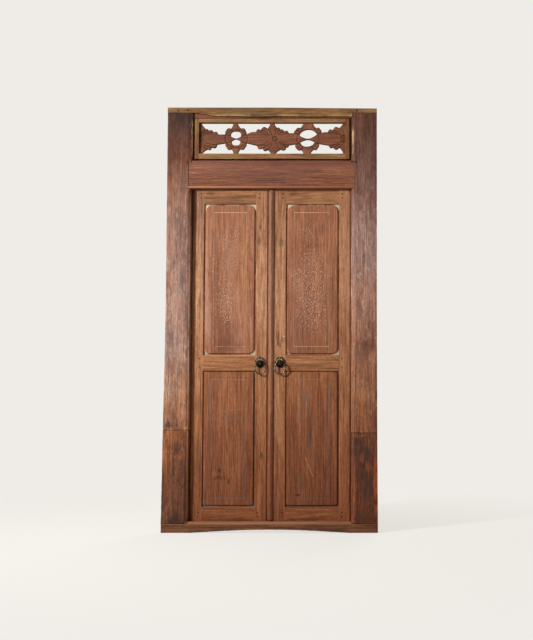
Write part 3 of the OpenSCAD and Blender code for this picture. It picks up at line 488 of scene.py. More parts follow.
# %% Panel painter
class Panel(Wood):
    """A panel with its opening's edges x0, x1, z0, z1 in millimetres."""

    def __init__(self, name, opening, field_radius, **kind):
        super().__init__(name, "z", **kind)
        self.opening, self.field_radius = opening, field_radius

    def out_of(self, left, right, ends, radius=0.0):
        """Distance outside a rectangle inset from the opening; negative inside it."""
        x0, x1, z0, z1 = self.opening
        x0, x1, z0, z1 = x0 + left, x1 - right, z0 + ends, z1 - ends
        middle = ((x0 + x1) / 2 * MM, (z0 + z1) / 2 * MM)
        half = (((x1 - x0) / 2 - radius) * MM, ((z1 - z0) / 2 - radius) * MM)
        over = [self.math("SUBTRACT", self.math("ABSOLUTE", self.math("SUBTRACT", value, at)), size)
                for value, at, size in zip((self.x, self.z), middle, half)]
        inner = self.math("MAXIMUM", *over)
        if not radius:
            return inner
        beyond = [self.math("MAXIMUM", value, 0.0) for value in over]
        whole = self.math("ADD", self.length(*beyond), self.math("MINIMUM", inner, 0.0))
        return self.math("SUBTRACT", whole, radius * MM)

    def lay(self, mask, colour, share):
        """Lays colour on the front only."""
        front = self.step(self.y, 0.012, 0.010)
        mask = self.math("MULTIPLY", self.math("MULTIPLY", mask, front), share)
        self.colour = self.mix(mask, self.colour, colour)

    def scored_line(self, colour, insets, share=0.95, worn=(9, 0.30, 0.46), wide=3.0):
        away = self.math("ABSOLUTE", self.math("ADD", self.out_of(*insets), wide / 2 * MM))
        line = self.step(away, (wide / 2 + 0.5) * MM, (wide / 2 - 0.3) * MM)
        self.lay(self.math("MULTIPLY", line, self.patches(*worn, (1, 5))), colour, share)

    def margin_paint(self, colour, sides, share=0.7, worn=(14, 0.46, 0.60)):
        """Paint in the sunk margin: sides are axis, start and end of each stretch."""
        outside = self.step(self.out_of(8, 8, 8, self.field_radius), -0.5 * MM, 1.0 * MM)
        kept = self.patches(*worn, (4, 7), detail=4)
        total = 0.0
        for axis, start, end in sides:
            total = self.math("MAXIMUM", total,
                              self.band(getattr(self, axis), start * MM, end * MM, 0.010))
        self.lay(self.math("MULTIPLY", self.math("MULTIPLY", outside, total), kept), colour, share)

    def corner_paint(self, colour, corners, reach=40, share=0.8):
        """Paint between the field's round corners and the frame; corners are side signs."""
        outside = self.step(self.out_of(9, 9, 9, self.field_radius), -2.0 * MM, 1.0 * MM)
        ragged = self.noise((55,) * 3, (self.seed, 9, 2), detail=4, rough=0.6)
        x0, x1, z0, z1 = self.opening
        total = 0.0
        for side, end, strong in corners:
            corner = ((x0 if side < 0 else x1) * MM, 0.004, (z0 if end < 0 else z1) * MM)
            edge = self.math("MULTIPLY_ADD", self.math("SUBTRACT", ragged, 0.5), 0.07,
                             self.vector("DISTANCE", self.where, corner))
            total = self.math("ADD", total,
                              self.step(edge, reach * MM, reach * 0.4 * MM, 0.0, strong))
        self.lay(self.math("MULTIPLY", outside, total, clamp=True), colour, share)

    def scratch(self, start, end, wide, colour, share):
        """A straight scratch from start to end, each x, z in millimetres."""
        length = math.dist(start, end)
        run = ((end[0] - start[0]) / length, (end[1] - start[1]) / length)
        x = self.math("SUBTRACT", self.x, start[0] * MM)
        z = self.math("SUBTRACT", self.z, start[1] * MM)
        along = self.math("ADD", self.math("MULTIPLY", x, run[0]),
                          self.math("MULTIPLY", z, run[1]))
        off = self.math("ABSOLUTE", self.math("SUBTRACT", self.math("MULTIPLY", x, run[1]),
                                              self.math("MULTIPLY", z, run[0])))
        line = self.math("MULTIPLY", self.step(off, wide * MM, wide * 0.4 * MM),
                         self.band(along, 0.0, length * MM, 0.006))
        kept = self.patches(60, 0.36, 0.48, (8, 3))
        self.lay(self.math("MULTIPLY", line, kept), colour, share)

    def flecks(self, colour, share, low=0.62, seed=0, ovals=(), size=(230, 60, 95)):
        """Short upright scratches of paint, thick only inside the given ovals."""
        scratch = self.noise(size, (seed, seed * 3, 1), detail=3, rough=0.7)
        mark = self.step(scratch, low, low + 0.05)
        total = 0.0
        for x, z, wide, high, strong in ovals:
            total = self.math("ADD", total,
                              self.math("MULTIPLY", self.oval(x, z, wide, high, 0.5), strong))
        self.lay(self.math("MULTIPLY", mark, total, clamp=True), colour, share)


print("panel painter ready")

# %% Upper panels
CREAM = tint(222, 196, 158)
CORNER_CREAM = tint(204, 192, 166)
FLECK = tint(206, 178, 156)
PANEL = dict(dark=tint(112, 66, 46), middle=tint(151, 97, 68), light=tint(178, 124, 94))
# Painted shade of the panels from the foot to the top, darker low down where less light falls
PANEL_PAINTED_SHADE = [(120, (0.60, 0.48, 0.42, 1)), (280, (0.65, 0.54, 0.48, 1)),
               (490, (0.73, 0.63, 0.59, 1)), (700, (0.90, 0.84, 0.76, 1)),
               (1070, (0.90, 0.88, 0.88, 1)), (1270, (0.93, 0.91, 0.90, 1)),
               (1580, (1.0, 1.0, 1.0, 1)), (1700, (0.96, 0.94, 0.92, 1))]
X_LEFT, X_RIGHT = (-352.5, -81.0), (75.0, 352.5)
Z_UPPER, Z_LOWER = (907.5, 1697.0), (128.5, 826.5)

panel = Panel("left upper panel teak", X_LEFT + Z_UPPER, 28, seed=11, ring_share=0.16, **PANEL)
panel.clouds(tint(172, 130, 110), (9, 5, 2.0), 0.45, 0.75, 0.40, seed=1)
panel.clouds(tint(120, 74, 56), (26, 10, 5), 0.52, 0.66, 0.35, seed=5)
panel.stain(tint(96, 58, 48), (-225, 960, 100, 70, 0.6), (-205, 1050, 70, 60, 0.35), ragged=0.5)
panel.stain(tint(190, 146, 126), (-336, 1240, 13, 360, 0.7), (-325, 1080, 20, 180, 0.5))
panel.scored_line(CREAM, (49, 49, 43), share=0.62)
panel.margin_paint(tint(176, 164, 138), [("x", -100, -75), ("z", 1686, 1700)], 0.75)
panel.corner_paint(CORNER_CREAM, [(-1, 1, 1.0), (1, 1, 1.0), (-1, -1, 0.7), (1, -1, 0.9)])
panel.flecks(FLECK, 0.9, low=0.56, ovals=[
    (-215, 1450, 110, 180, 0.6), (-235, 1200, 70, 150, 1.0), (-300, 1250, 40, 300, 0.4),
    (-230, 1090, 40, 90, 0.9)])
panel.fade("z", PANEL_PAINTED_SHADE)
dress(panel.finish(), "left_upper_panel")

panel = Panel("right upper panel teak", X_RIGHT + Z_UPPER, 28, seed=12, ring_share=0.14, **PANEL)
panel.clouds(tint(176, 128, 108), (8, 5, 2.4), 0.42, 0.72, 0.45, seed=2)
panel.clouds(tint(120, 74, 56), (24, 10, 6), 0.52, 0.66, 0.35, seed=6)
panel.stain(tint(90, 54, 46), (255, 1560, 40, 40, 0.45), (230, 1480, 90, 16, 0.35), ragged=0.6)
panel.scored_line(CREAM, (40, 52, 43), share=0.62)
panel.margin_paint(tint(176, 164, 138), [("x", 332, 360), ("z", 1686, 1700)], 0.7)
panel.corner_paint(CORNER_CREAM, [(-1, 1, 1.0), (1, 1, 1.0), (-1, -1, 0.5), (1, -1, 0.6)])
panel.flecks(tint(216, 192, 172), 0.85, low=0.56, seed=4, ovals=[
    (200, 1300, 130, 230, 0.9), (215, 1120, 110, 150, 0.9), (190, 1560, 70, 70, 0.5)])
panel.fade("z", PANEL_PAINTED_SHADE)
dress(panel.finish(), "right_upper_panel")

# %% Lower panels
BLUE = tint(136, 150, 162)
STRONG_BLUE = tint(96, 140, 172)
LOW_PANEL = dict(dark=tint(112, 66, 44), middle=tint(151, 97, 65), light=tint(178, 122, 88))

panel = Panel("left lower panel teak", X_LEFT + Z_LOWER, 10, seed=13, ring_share=0.20,
              knots=[(-262, 315, 26)], **LOW_PANEL)
panel.stain(tint(52, 28, 20), (-262, 318, 16, 30, 0.9), (-262, 268, 34, 20, 0.6),
            (-215, 262, 7, 22, 0.8), (-222, 430, 8, 40, 0.4), (-195, 540, 40, 90, 0.25))
panel.stain(tint(124, 112, 98), (-258, 345, 14, 26, 0.6), (-190, 580, 70, 12, 0.5),
            (-225, 600, 8, 50, 0.3), ragged=0.5)
panel.scratch((-275, 612), (-150, 628), 3.0, tint(150, 136, 124), 0.45)
panel.scratch((-300, 580), (-240, 566), 2.4, tint(150, 136, 124), 0.4)
panel.scored_line(BLUE, (39, 49, 43), share=0.85, worn=(12, 0.28, 0.42))
panel.margin_paint(tint(98, 98, 96), [("x", -100, -75)], 0.8, worn=(10, 0.40, 0.55))
panel.corner_paint(STRONG_BLUE, [(-1, -1, 0.9), (1, -1, 1.0)], reach=44, share=0.9)
panel.margin_paint(STRONG_BLUE, [("z", 120, 134)], 0.8, worn=(20, 0.46, 0.56))
panel.fade("z", PANEL_PAINTED_SHADE)
dress(panel.finish(), "left_lower_panel")

panel = Panel("right lower panel teak", X_RIGHT + Z_LOWER, 10, seed=14, ring_share=0.22,
              knots=[(142, 195, 18)], **LOW_PANEL)
panel.stain(tint(100, 100, 100), (170, 690, 16, 70, 0.6), (198, 660, 12, 100, 0.6),
            (150, 600, 10, 70, 0.45), (205, 460, 16, 100, 0.5), (225, 380, 9, 70, 0.4),
            (165, 260, 16, 60, 0.5), (215, 560, 10, 60, 0.5), ragged=0.7, grain=90)
panel.stain(tint(40, 24, 20), (142, 186, 26, 12, 0.95), (205, 500, 10, 90, 0.5), ragged=0.4)
panel.stain(tint(176, 116, 68), (190, 330, 6, 60, 0.6), ragged=0.3)
panel.scratch((180, 379), (219, 285), 3.4, tint(206, 146, 100), 0.8)
panel.scratch((172, 330), (196, 270), 2.4, tint(186, 140, 104), 0.6)
panel.scored_line(tint(136, 144, 152), (42, 53, 43), share=0.75, worn=(12, 0.28, 0.42))
panel.margin_paint(tint(84, 90, 92), [("x", 332, 360), ("z", 120, 134)], 0.7,
                   worn=(12, 0.42, 0.55))
panel.corner_paint(tint(92, 100, 104), [(-1, -1, 0.5), (1, -1, 0.6)], reach=36, share=0.8)
panel.fade("z", PANEL_PAINTED_SHADE)
dress(panel.finish(), "right_lower_panel")

# %% [markdown]
# ## The posts and their feet
# The posts are the oldest wood: purple-brown where the old finish is whole, orange where it has
# been knocked off. Both have been given newer feet after the old ones rotted, and the splice
# shows as a plain line. Large soft stains and small ragged patches do this, over an upright grain.

# %% Posts
ORANGE = tint(196, 126, 82)
OLD_FINISH = tint(100, 72, 64)
post_finish, foot_finish = {}, {}

post = Wood("left post teak", "z", tint(104, 74, 66), tint(166, 128, 110), tint(200, 164, 146),
            seed=21, ring_share=0.16, roughness=0.66, rough_wear=0.8)
post.clouds(OLD_FINISH, (20, 20, 9), 0.48, 0.64, 0.5, seed=1, detail=7, rough=0.7)
post.clouds(ORANGE, (24, 24, 11), 0.54, 0.66, 0.5, seed=2, detail=7, rough=0.72)
post.clouds(tint(206, 182, 170), (60, 60, 24), 0.55, 0.68, 0.5, seed=6, detail=6, rough=0.7)
post.stain(tint(150, 96, 70), (-520, 1960, 22, 70, 0.6), (-545, 2090, 12, 60, 0.6), ragged=0.6)
post.stain(tint(116, 92, 90), (-462, 1300, 30, 90, 0.5), (-470, 1560, 34, 170, 0.35),
           (-525, 990, 30, 60, 0.5), (-505, 860, 12, 60, 0.5), ragged=0.5)
post.stain(ORANGE, (-530, 1780, 18, 120, 0.6), (-450, 740, 18, 120, 0.6), (-470, 640, 16, 80, 0.6),
           (-538, 1500, 9, 200, 0.4), (-520, 1340, 14, 160, 0.3), ragged=0.9, soft=0.9)
post.stain(tint(54, 38, 42), (-522, 545, 28, 24, 0.9), (-480, 548, 12, 14, 0.5), ragged=0.5)
post.stain(tint(208, 190, 176), (-490, 1630, 9, 22, 0.6), ragged=0.5)
post.stain(tint(120, 136, 140), (-528, 735, 9, 16, 0.8), (-515, 670, 7, 22, 0.6), ragged=0.5)
post.strip("x", -428, -421, 1.5, tint(206, 160, 132), 0.40, broken=(8, 0.36, 0.5))
post.strip("x", -560, -545, 2, tint(206, 150, 104), 0.5, broken=(6, 0.42, 0.55))
post.stain(tint(226, 200, 150), (-431, 531, 9, 12, 0.95), (-463, 668, 6, 6, 0.6), ragged=0.3)
post.fade("z", [(560, (0.82, 0.63, 0.48, 1)), (695, (0.94, 0.88, 0.76, 1)),
                (955, (0.84, 0.87, 0.93, 1)), (1210, (0.80, 0.80, 0.83, 1)),
                (1460, (0.68, 0.66, 0.70, 1)), (1720, (0.57, 0.48, 0.44, 1)),
                (1930, (0.28, 0.155, 0.105, 1)), (2140, (0.11, 0.075, 0.062, 1))])
post.stain(tint(150, 122, 84), (-416, 2040, 6, 110, 0.8), ragged=0.6)
post.stain(tint(60, 92, 118), (-426, 2108, 5, 16, 0.7), ragged=0.5)
post_finish["left"] = post.finish(0.6, 0.0014)

post = Wood("right post teak", "z", tint(100, 74, 70), tint(162, 128, 120), tint(194, 162, 152),
            seed=22, ring_share=0.2, roughness=0.66, rough_wear=0.8)
post.clouds(OLD_FINISH, (20, 20, 8), 0.46, 0.62, 0.5, seed=1, detail=7, rough=0.7)
post.clouds(ORANGE, (26, 26, 11), 0.56, 0.68, 0.40, seed=2, detail=7, rough=0.72)
post.clouds(tint(204, 182, 174), (60, 60, 22), 0.55, 0.68, 0.5, seed=6, detail=6, rough=0.7)
post.stain(tint(70, 52, 54), (505, 960, 40, 60, 0.5), (512, 1060, 26, 40, 0.4), ragged=0.5)
post.stain(tint(150, 126, 118), (470, 860, 30, 90, 0.4), (520, 1350, 30, 200, 0.4), ragged=0.5)
post.stain(ORANGE, (468, 640, 9, 110, 0.7), (500, 560, 40, 18, 0.4), ragged=0.4)
post.strip("x", 421, 433, 2, tint(170, 124, 104), 0.15)
post.fade("z", [(560, (0.65, 0.40, 0.23, 1)), (695, (0.78, 0.56, 0.33, 1)),
                (955, (0.87, 0.66, 0.48, 1)), (1210, (0.96, 0.86, 0.73, 1)),
                (1460, (1.0, 1.0, 1.0, 1)), (1720, (0.58, 0.48, 0.44, 1)),
                (1930, (0.33, 0.23, 0.20, 1)), (2140, (0.27, 0.17, 0.12, 1))])
post.stain(tint(204, 172, 120), (424, 2040, 5, 100, 0.9), ragged=0.6)
post_finish["right"] = post.finish(0.6, 0.0014)

foot = Wood("left foot teak", "z", tint(92, 56, 42), tint(156, 102, 70), tint(190, 128, 88),
            seed=23, ring_share=0.22, roughness=0.66, rough_wear=0.85)
foot.clouds(tint(80, 54, 48), (24, 24, 9), 0.46, 0.62, 0.65, seed=1, detail=7, rough=0.72)
foot.clouds(ORANGE, (30, 30, 12), 0.54, 0.66, 0.6, seed=2, detail=7, rough=0.72)
foot.stain(tint(66, 44, 42), (-470, 430, 30, 50, 0.6), (-450, 300, 18, 110, 0.6),
           (-540, 200, 18, 200, 0.4), (-480, 60, 60, 40, 0.5), ragged=0.5)
foot.stain(tint(140, 142, 138), (-443, 424, 8, 12, 0.7), (-520, 412, 14, 8, 0.4), ragged=1.1)
foot.strip("x", -428, -421, 1.5, tint(190, 140, 108), 0.35)
foot.fade("z", [(40, (0.42, 0.38, 0.37, 1)), (120, (0.45, 0.42, 0.42, 1)),
                (280, (0.58, 0.51, 0.47, 1)), (490, (0.88, 0.78, 0.68, 1))])
foot_finish["left"] = foot.finish(0.7, 0.0016)

foot = Wood("right foot teak", "z", tint(76, 46, 34), tint(132, 84, 60), tint(164, 108, 74),
            seed=24, ring_share=0.2, roughness=0.66, rough_wear=0.85)
foot.clouds(tint(70, 50, 46), (24, 24, 9), 0.46, 0.60, 0.6, seed=1, detail=7, rough=0.72)
foot.stain(tint(74, 62, 58), (480, 390, 48, 100, 0.9), (490, 230, 44, 150, 0.85),
           (480, 80, 50, 60, 0.7), ragged=0.35)
foot.stain(tint(184, 112, 70), (540, 240, 12, 220, 0.7), (462, 494, 40, 14, 0.8),
           (505, 335, 20, 46, 0.6), (470, 380, 14, 36, 0.5), ragged=1.1, soft=0.9)
foot.strip("x", 421, 433, 2, tint(160, 114, 92), 0.10)
foot.fade("z", [(40, (0.80, 0.56, 0.42, 1)), (120, (0.84, 0.60, 0.43, 1)),
                (280, (0.72, 0.55, 0.44, 1)), (480, (0.60, 0.52, 0.48, 1))])
foot_finish["right"] = foot.finish(0.7, 0.0016)
print("posts and feet painted")

# %% [markdown]
# ## Sill, lintel, head rail and cap
# The beams lie across, so their grain does too, and the wood painter only needs telling that.
# The sill's top edge is painted lighter, a painted highlight where it faces up into the light.
# The lintel ends in a round bead that catches the light. The cap board is a different, yellower
# wood with its natural waney edge, and was never stained.

# %% Beams
sill = Wood("sill teak", "x", tint(70, 44, 32), tint(110, 72, 50), tint(140, 98, 70), seed=31,
            ring_share=0.25)
sill.clouds(tint(80, 52, 44), (2.4, 12, 30), 0.48, 0.62, 0.5, seed=1)
# Painted highlight along the sill's top edge, where it faces up into the light
sill.strip("z", 44, 60, 4, tint(168, 114, 78), 0.55)
sill.strip("z", 0, 20, 4, tint(156, 100, 66), 0.45, broken=(5, 0.40, 0.55))
sill.fade("x", [(-560, (0.72, 0.70, 0.68, 1)), (-420, (0.82, 0.80, 0.78, 1)),
                (0, (0.92, 0.90, 0.88, 1)), (420, (0.80, 0.76, 0.74, 1)),
                (560, (0.62, 0.56, 0.54, 1))])
sill_finish = sill.finish(0.6, 0.0014)

lintel = Wood("lintel teak", "x", tint(86, 49, 36), tint(127, 78, 55), tint(155, 103, 78), seed=32,
              rings=10, ring_share=0.2)
lintel.clouds(tint(104, 66, 58), (1.8, 10, 12), 0.44, 0.62, 0.5, seed=1)
lintel.strip("z", 1900, 1922, 6, tint(104, 58, 42), 0.5)
lintel.strip("z", 1774, 1788, 2, tint(180, 126, 98), 0.45)
lintel.stain(tint(84, 50, 42), (20, 1900, 60, 20, 0.5), (240, 1870, 30, 20, 0.4), ragged=0.5)
dress(lintel.finish(), "lintel")

rail = Wood("head rail teak", "x", tint(96, 50, 36), tint(140, 78, 52), tint(166, 102, 72), seed=33)
dress(rail.finish(), "head_rail")

cap = Wood("cap board wood", "x", tint(84, 58, 31), tint(128, 92, 54), tint(160, 125, 82),
           seed=34, rings=16, ring_share=0.35)
cap.clouds(tint(92, 80, 60), (2.6, 20, 22), 0.50, 0.62, 0.5, seed=1)
cap.strip("z", 2140, 2162, 3, tint(176, 146, 96), 0.5, broken=(6, 0.42, 0.52))
cap.stain(tint(70, 44, 30), (440, 2180, 60, 14, 0.5), (-500, 2176, 40, 10, 0.5), ragged=0.6)
cap.stain(tint(80, 120, 170), (-428, 2154, 7, 9, 0.9), ragged=0.2)
dress(cap.finish(), "cap_board")

# %% [markdown]
# ## The transom
# The loose frame round the carving kept more of its old olive-brown stain. Its inner faces look
# nearly black, but only because they lie in shadow, so no paint is spent on them. Four calls
# would do for the four members; a loop is used because only their grain, tones and seed differ.

# %% Transom frame
CROSS = dict(dark=tint(84, 54, 34), middle=tint(125, 86, 55), light=tint(152, 112, 78))
UPRIGHT = dict(dark=tint(78, 46, 28), middle=tint(116, 72, 43), light=tint(142, 96, 62))
for part, along in (("top", "x"), ("bottom", "x"), ("left", "z"), ("right", "z")):
    tones = CROSS if along == "x" else UPRIGHT
    member = Wood(f"transom {part} teak", along, seed=41 + len(part), ring_share=0.2, **tones)
    member.clouds(tint(128, 110, 66), (6, 6, 6), 0.48, 0.66, 0.4, seed=3)
    dress(member.finish(), f"transom_{part}")

# %% [markdown]
# The carved board was stained with the frame round it. Its grooves and the walls of its cuts are
# darkened with painted shade, found from how deep below the board's front a point lies.

# %% Carved board finish
carving = Wood("carved board teak", "x", tint(92, 52, 34), tint(115, 69, 46), tint(140, 91, 64),
               seed=47, ring_share=0.06, figure=(20, 5))
carving.clouds(tint(96, 60, 44), (30, 30, 30), 0.46, 0.62, 0.4, seed=1)
# Painted shade: the deeper a point lies below the board's front, the darker it is
painted_groove_shade = carving.step(carving.y, -0.0074, -0.0062)
carving.colour = carving.mix(carving.math("MULTIPLY", painted_groove_shade, 0.85), carving.colour,
                             tint(50, 25, 15))
carved_finish = carving.finish()
slip = Wood("packing slip wood", "x", tint(62, 38, 26), tint(88, 56, 38), tint(110, 74, 52),
            seed=49)
slip_finish = slip.finish()
print("carved board painted")

# %% [markdown]
# ## Metal
# The pulls are brass gone dull: brown in some patches and paler in others, with greenish grey
# specks. The patches could follow the hollows of the shape, but at this size two noises, one
# broad and one fine, read the same and need no mesh data. The nails are iron, nearly black.

# %% Brass and iron
brass = Finish("aged brass", roughness=0.42, metallic=0.85)
cloud = brass.noise((90, 90, 90), detail=4)
grit = brass.noise((900, 900, 900), detail=3)
colour = brass.ramp(cloud, [(0.36, tint(54, 44, 36)), (0.52, tint(108, 93, 76)),
                            (0.68, tint(158, 142, 120))])
colour = brass.mix(brass.step(grit, 0.55, 0.75, 0, 0.4), colour, tint(74, 84, 70))
brass.bump(grit, 0.0004, 0.5)
# A painted shadow: a dark crescent under each boss, where the boss and the ring's top shade the
# rose
for side in ("left", "right"):
    low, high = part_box(f"{side}_pull_rose")
    away = brass.length(brass.math("SUBTRACT", brass.x, (low.x + high.x) / 2),
                        brass.math("SUBTRACT", brass.z, (low.z + high.z) / 2 - 0.008))
    painted_boss_shadow = brass.math("MULTIPLY", brass.band(away, 0.0085, 0.0185, 0.0020),
                      brass.step(brass.z, (low.z + high.z) / 2 + 0.012,
                                 (low.z + high.z) / 2 + 0.004))
    colour = brass.mix(brass.math("MULTIPLY", painted_boss_shadow, 0.93), colour, tint(26, 17, 12))
brass_finish = brass.done(colour, brass.step(cloud, 0.35, 0.65, 0.60, 0.42))
dress(brass_finish, "left_pull_eye", "right_pull_eye", "left_clench_washer", "right_clench_washer")

iron = Finish("old iron", roughness=0.6, metallic=0.6)
rust = iron.noise((400, 400, 400), detail=4)
iron.bump(rust, 0.0004, 0.6)
dress(iron.done(iron.ramp(rust, [(0.4, tint(30, 26, 26)), (0.6, tint(70, 50, 40))])),
      "cap_nails", "corner_nails", "astragal_brads")

# %% [markdown]
# ## Hewn timbers
# The posts, their feet and the sill look squared by hand, and long use has knocked their corners.
# A bevel alone would leave them machine-straight. Here each is copied, sliced into a fine grid so
# that there are points to move, and its skin is pressed in unevenly: gently on the faces, more on
# the outer corners, and in a few real chips. Slicing keeps every joint where it is, which a remesh
# would blur.

# %% Slice and press
def own_mesh(node, cuts=()):
    """A welded copy of a CAD piece's mesh, sliced by planes: each cut is an axis and a spacing."""
    shape = bmesh.new()
    shape.from_mesh(nodes[node].data)
    bmesh.ops.remove_doubles(shape, verts=shape.verts, dist=0.00001)
    low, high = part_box(node)
    for axis, spacing in cuts:
        normal = [0, 0, 0]
        normal[axis] = 1
        count = int((high[axis] - low[axis]) / (spacing * MM))
        for k in range(1, count + 1):
            at = [0, 0, 0]
            at[axis] = low[axis] + k * (high[axis] - low[axis]) / (count + 1)
            geometry = shape.verts[:] + shape.edges[:] + shape.faces[:]
            bmesh.ops.bisect_plane(shape, geom=geometry, plane_co=at, plane_no=normal,
                                   dist=0.00001)
    return shape


def show(shape, name, body, slot, material, *replaced, smooth=35):
    """Makes an object of a mesh in the making, and gives it its body and finish; the slot is not
    used.
    """
    mesh = bpy.data.meshes.new(name)
    shape.to_mesh(mesh)
    shape.free()
    mesh.materials.append(material)
    piece = bpy.data.objects.new(name, mesh)
    bpy.context.scene.collection.objects.link(piece)
    mesh.shade_smooth()
    mesh.set_sharp_from_angle(angle=math.radians(smooth))
    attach(piece, body)
    if replaced:
        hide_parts(*replaced)
    print(name, len(mesh.polygons), "faces")
    return piece


# Where the jambs are, how far the stop and the jamb in front of it come in, and where the stop
# begins and ends from front to back, all in metres
JAMB, STOP, STOP_FRONT = 0.4215, 0.0068, 0.0018
STOP_BEGINS, STOP_ENDS = -0.010, -0.0015
# How many waves of noise fit in a metre: for hollows, for tool marks, and for chips on x, y, z
HOLLOWS, MARKS, CHIPS = 22, 75, (30, 30, 14)
# The noise past which a chip begins, and how fast it deepens from there
CHIP_FROM, CHIP_STEEP = 0.28, 2.2


def hewn(node, cuts, press=0.7, corner=1.6, chip=3.0, seed=0, jamb=False):
    """Presses a timber's skin in: all over by up to press, on its corners by corner, in chips."""
    shape = own_mesh(node, cuts)
    shape.normal_update()
    low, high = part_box(node)
    moves = []
    for vert in shape.verts:
        wide = noise.noise(vert.co * HOLLOWS + Vector((seed, 0, seed)))
        fine = noise.noise(vert.co * MARKS + Vector((0, seed, 0)))
        deep = press * (0.5 + 0.5 * wide) + 0.25 * press * fine
        sides = [face.normal for face in vert.link_faces]
        turn = min((a.dot(b) for a in sides for b in sides), default=1)
        if turn < 0.5:
            rough = noise.noise(vert.co * Vector(CHIPS) + Vector((seed * 2, seed, 5)))
            deep += (corner * (0.6 + 0.4 * fine)
                     + chip * max(0.0, rough - CHIP_FROM) * CHIP_STEEP)
        move = -vert.normal * deep * MM
        # The ends that bear on other pieces keep their length
        if abs(vert.normal.z) > 0.9:
            move = Vector()
        inside = 0.0
        if jamb and abs(abs(vert.co.x) - JAMB) < 0.0003:
            # The jamb stays whole at the back, and a stop just before the leaf hides its gap
            if vert.co.y > STOP_ENDS:
                move = Vector()
            else:
                inside = STOP if vert.co.y > STOP_BEGINS else STOP_FRONT
        moves.append((move, -math.copysign(inside, vert.co.x)))
    for vert, (move, inside) in zip(shape.verts, moves):
        vert.co = Vector([min(max(c, lo), hi) for c, lo, hi in zip(vert.co + move, low, high)])
        vert.co.x += inside
    return shape


print("hewing tools ready")

# %% Posts, feet and sill
POST_CUTS = [(2, 9), (0, 9), (1, 7)]
for side, seed in (("left", 3), ("right", 8)):
    shape = hewn(f"{side}_post", POST_CUTS, seed=seed, jamb=True)
    show(shape, f"{side}_hewn_post", "frame", "post_wood", post_finish[side], f"{side}_post")
    shape = hewn(f"{side}_post_foot", POST_CUTS, press=1.0, chip=4.0, seed=seed + 20, jamb=True)
    show(shape, f"{side}_hewn_foot", "frame", "foot_wood", foot_finish[side], f"{side}_post_foot")

shape = hewn("sill", [(0, 9), (2, 6), (1, 7)], press=0.9, corner=2.0, chip=4.0, seed=31)
show(shape, "worn_sill", "frame", "foot_wood", sill_finish, "sill")

# %% [markdown]
# ## The bead between the leaves
# The round bead along the left leaf hides most of the gap between the two leaves. Its crown is
# worn wavy by hands, and its free edge reaches over the gap but stops short of the right leaf, so
# that either leaf can open first. Pressing a sliced copy keeps its ends and its back where they
# are, as on the posts.

# %% Worn bead
# Where the free edge begins and over what width it is drawn out, in metres; how far it is drawn
# out and how deep the crown is worn, in millimetres
BEAD_FREE_EDGE, DRAWN_OVER, BEAD_OVERHANG, CROWN_WEAR = 0.0085, 0.004, 2.1, 0.22
shape = own_mesh("astragal", [(2, 8), (0, 4)])
shape.normal_update()
low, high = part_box("astragal")
for vert, normal in [(v, v.normal.copy()) for v in shape.verts]:
    worn = CROWN_WEAR * (1 + noise.noise(Vector((vert.co.x * 40, 3, vert.co.z * 26))))
    reach = min(1.0, max(0.0, (vert.co.x - BEAD_FREE_EDGE) / DRAWN_OVER))
    if abs(normal.z) < 0.9 and vert.co.y < -0.001:
        vert.co -= normal * worn * MM
    vert.co.x += reach * BEAD_OVERHANG * MM
    vert.co.y = min(vert.co.y, high.y)
show(shape, "worn_bead", "left_leaf", "stile_wood", bead_finish, "astragal", smooth=50)

# %% [markdown]
# ## Packing slips
# The transom frame stands loose between the posts, and at its lower corners a hole was left
# through which light from behind would show. A thin tapered slip, such as a fitter pushes in to
# level a frame, shuts it. A lath shuts the gap between the leaves in the same way. These pieces
# are made up: they are the simplest things that keep the light out. Each is a six-sided block in
# mesh code, because with its corners named it can taper, which a scaled cube can't.

# %% Slips under the transom frame
SLIP_FACES = ((0, 1, 2, 3), (7, 6, 5, 4), (0, 4, 5, 1), (1, 5, 6, 2), (2, 6, 7, 3), (3, 7, 4, 0))


def block(name, xs, ys, zs, taper, body, slot, material):
    """A six-sided slip with its far upper corner lower by taper, and its edges rubbed round."""
    shape = bmesh.new()
    corners = [shape.verts.new((x, y, z)) for y in ys
               for x, z in ((xs[0], zs[0]), (xs[1], zs[0]), (xs[1], zs[1]), (xs[0], zs[1] - taper))]
    for face in SLIP_FACES:
        shape.faces.new([corners[i] for i in face])
    bmesh.ops.recalc_face_normals(shape, faces=shape.faces)
    bmesh.ops.bevel(shape, geom=shape.edges[:], offset=0.0004, segments=2, affect="EDGES")
    return show(shape, name, body, slot, material)


lintel_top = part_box("lintel")[1].z
for side, sign in (("left", -1), ("right", 1)):
    low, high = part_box(f"transom_{side}")
    inner = low.x if sign > 0 else high.x
    xs = sorted((inner - sign * 0.0007, inner + sign * 0.0095))
    block(f"{side}_packing_slip", xs, (-0.001, 0.010), (lintel_top - 0.0004, lintel_top + 0.0098),
          0.0006, "frame", "transom_wood", slip_finish)

# The lath along the left leaf's edge, a hair short of the right leaf
low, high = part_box("left_meeting_stile")
block("edge_lath", (high.x - 0.0003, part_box("right_meeting_stile")[0].x - 0.0009), (0.003, 0.027),
      (low.z + 0.001, high.z - 0.001), 0.0, "left_leaf", "stile_wood", bead_finish)

# %% [markdown]
# ## The carved board
# The pierced board over the lintel is cut right through, and then its leaves are modelled on the
# front with a gouge: rounded towards every cut, with a groove running in from each notch and a
# lighter vein up the middle of each lobe. The cuts are already in the exact solid. For the
# gouging the board is remeshed into small even facets, and each point on its front is pressed in
# by how near it is to a cut, to a groove or to the ring of a rosette. The notches are found on
# the solid itself, as the places where an outline turns sharply into the wood.

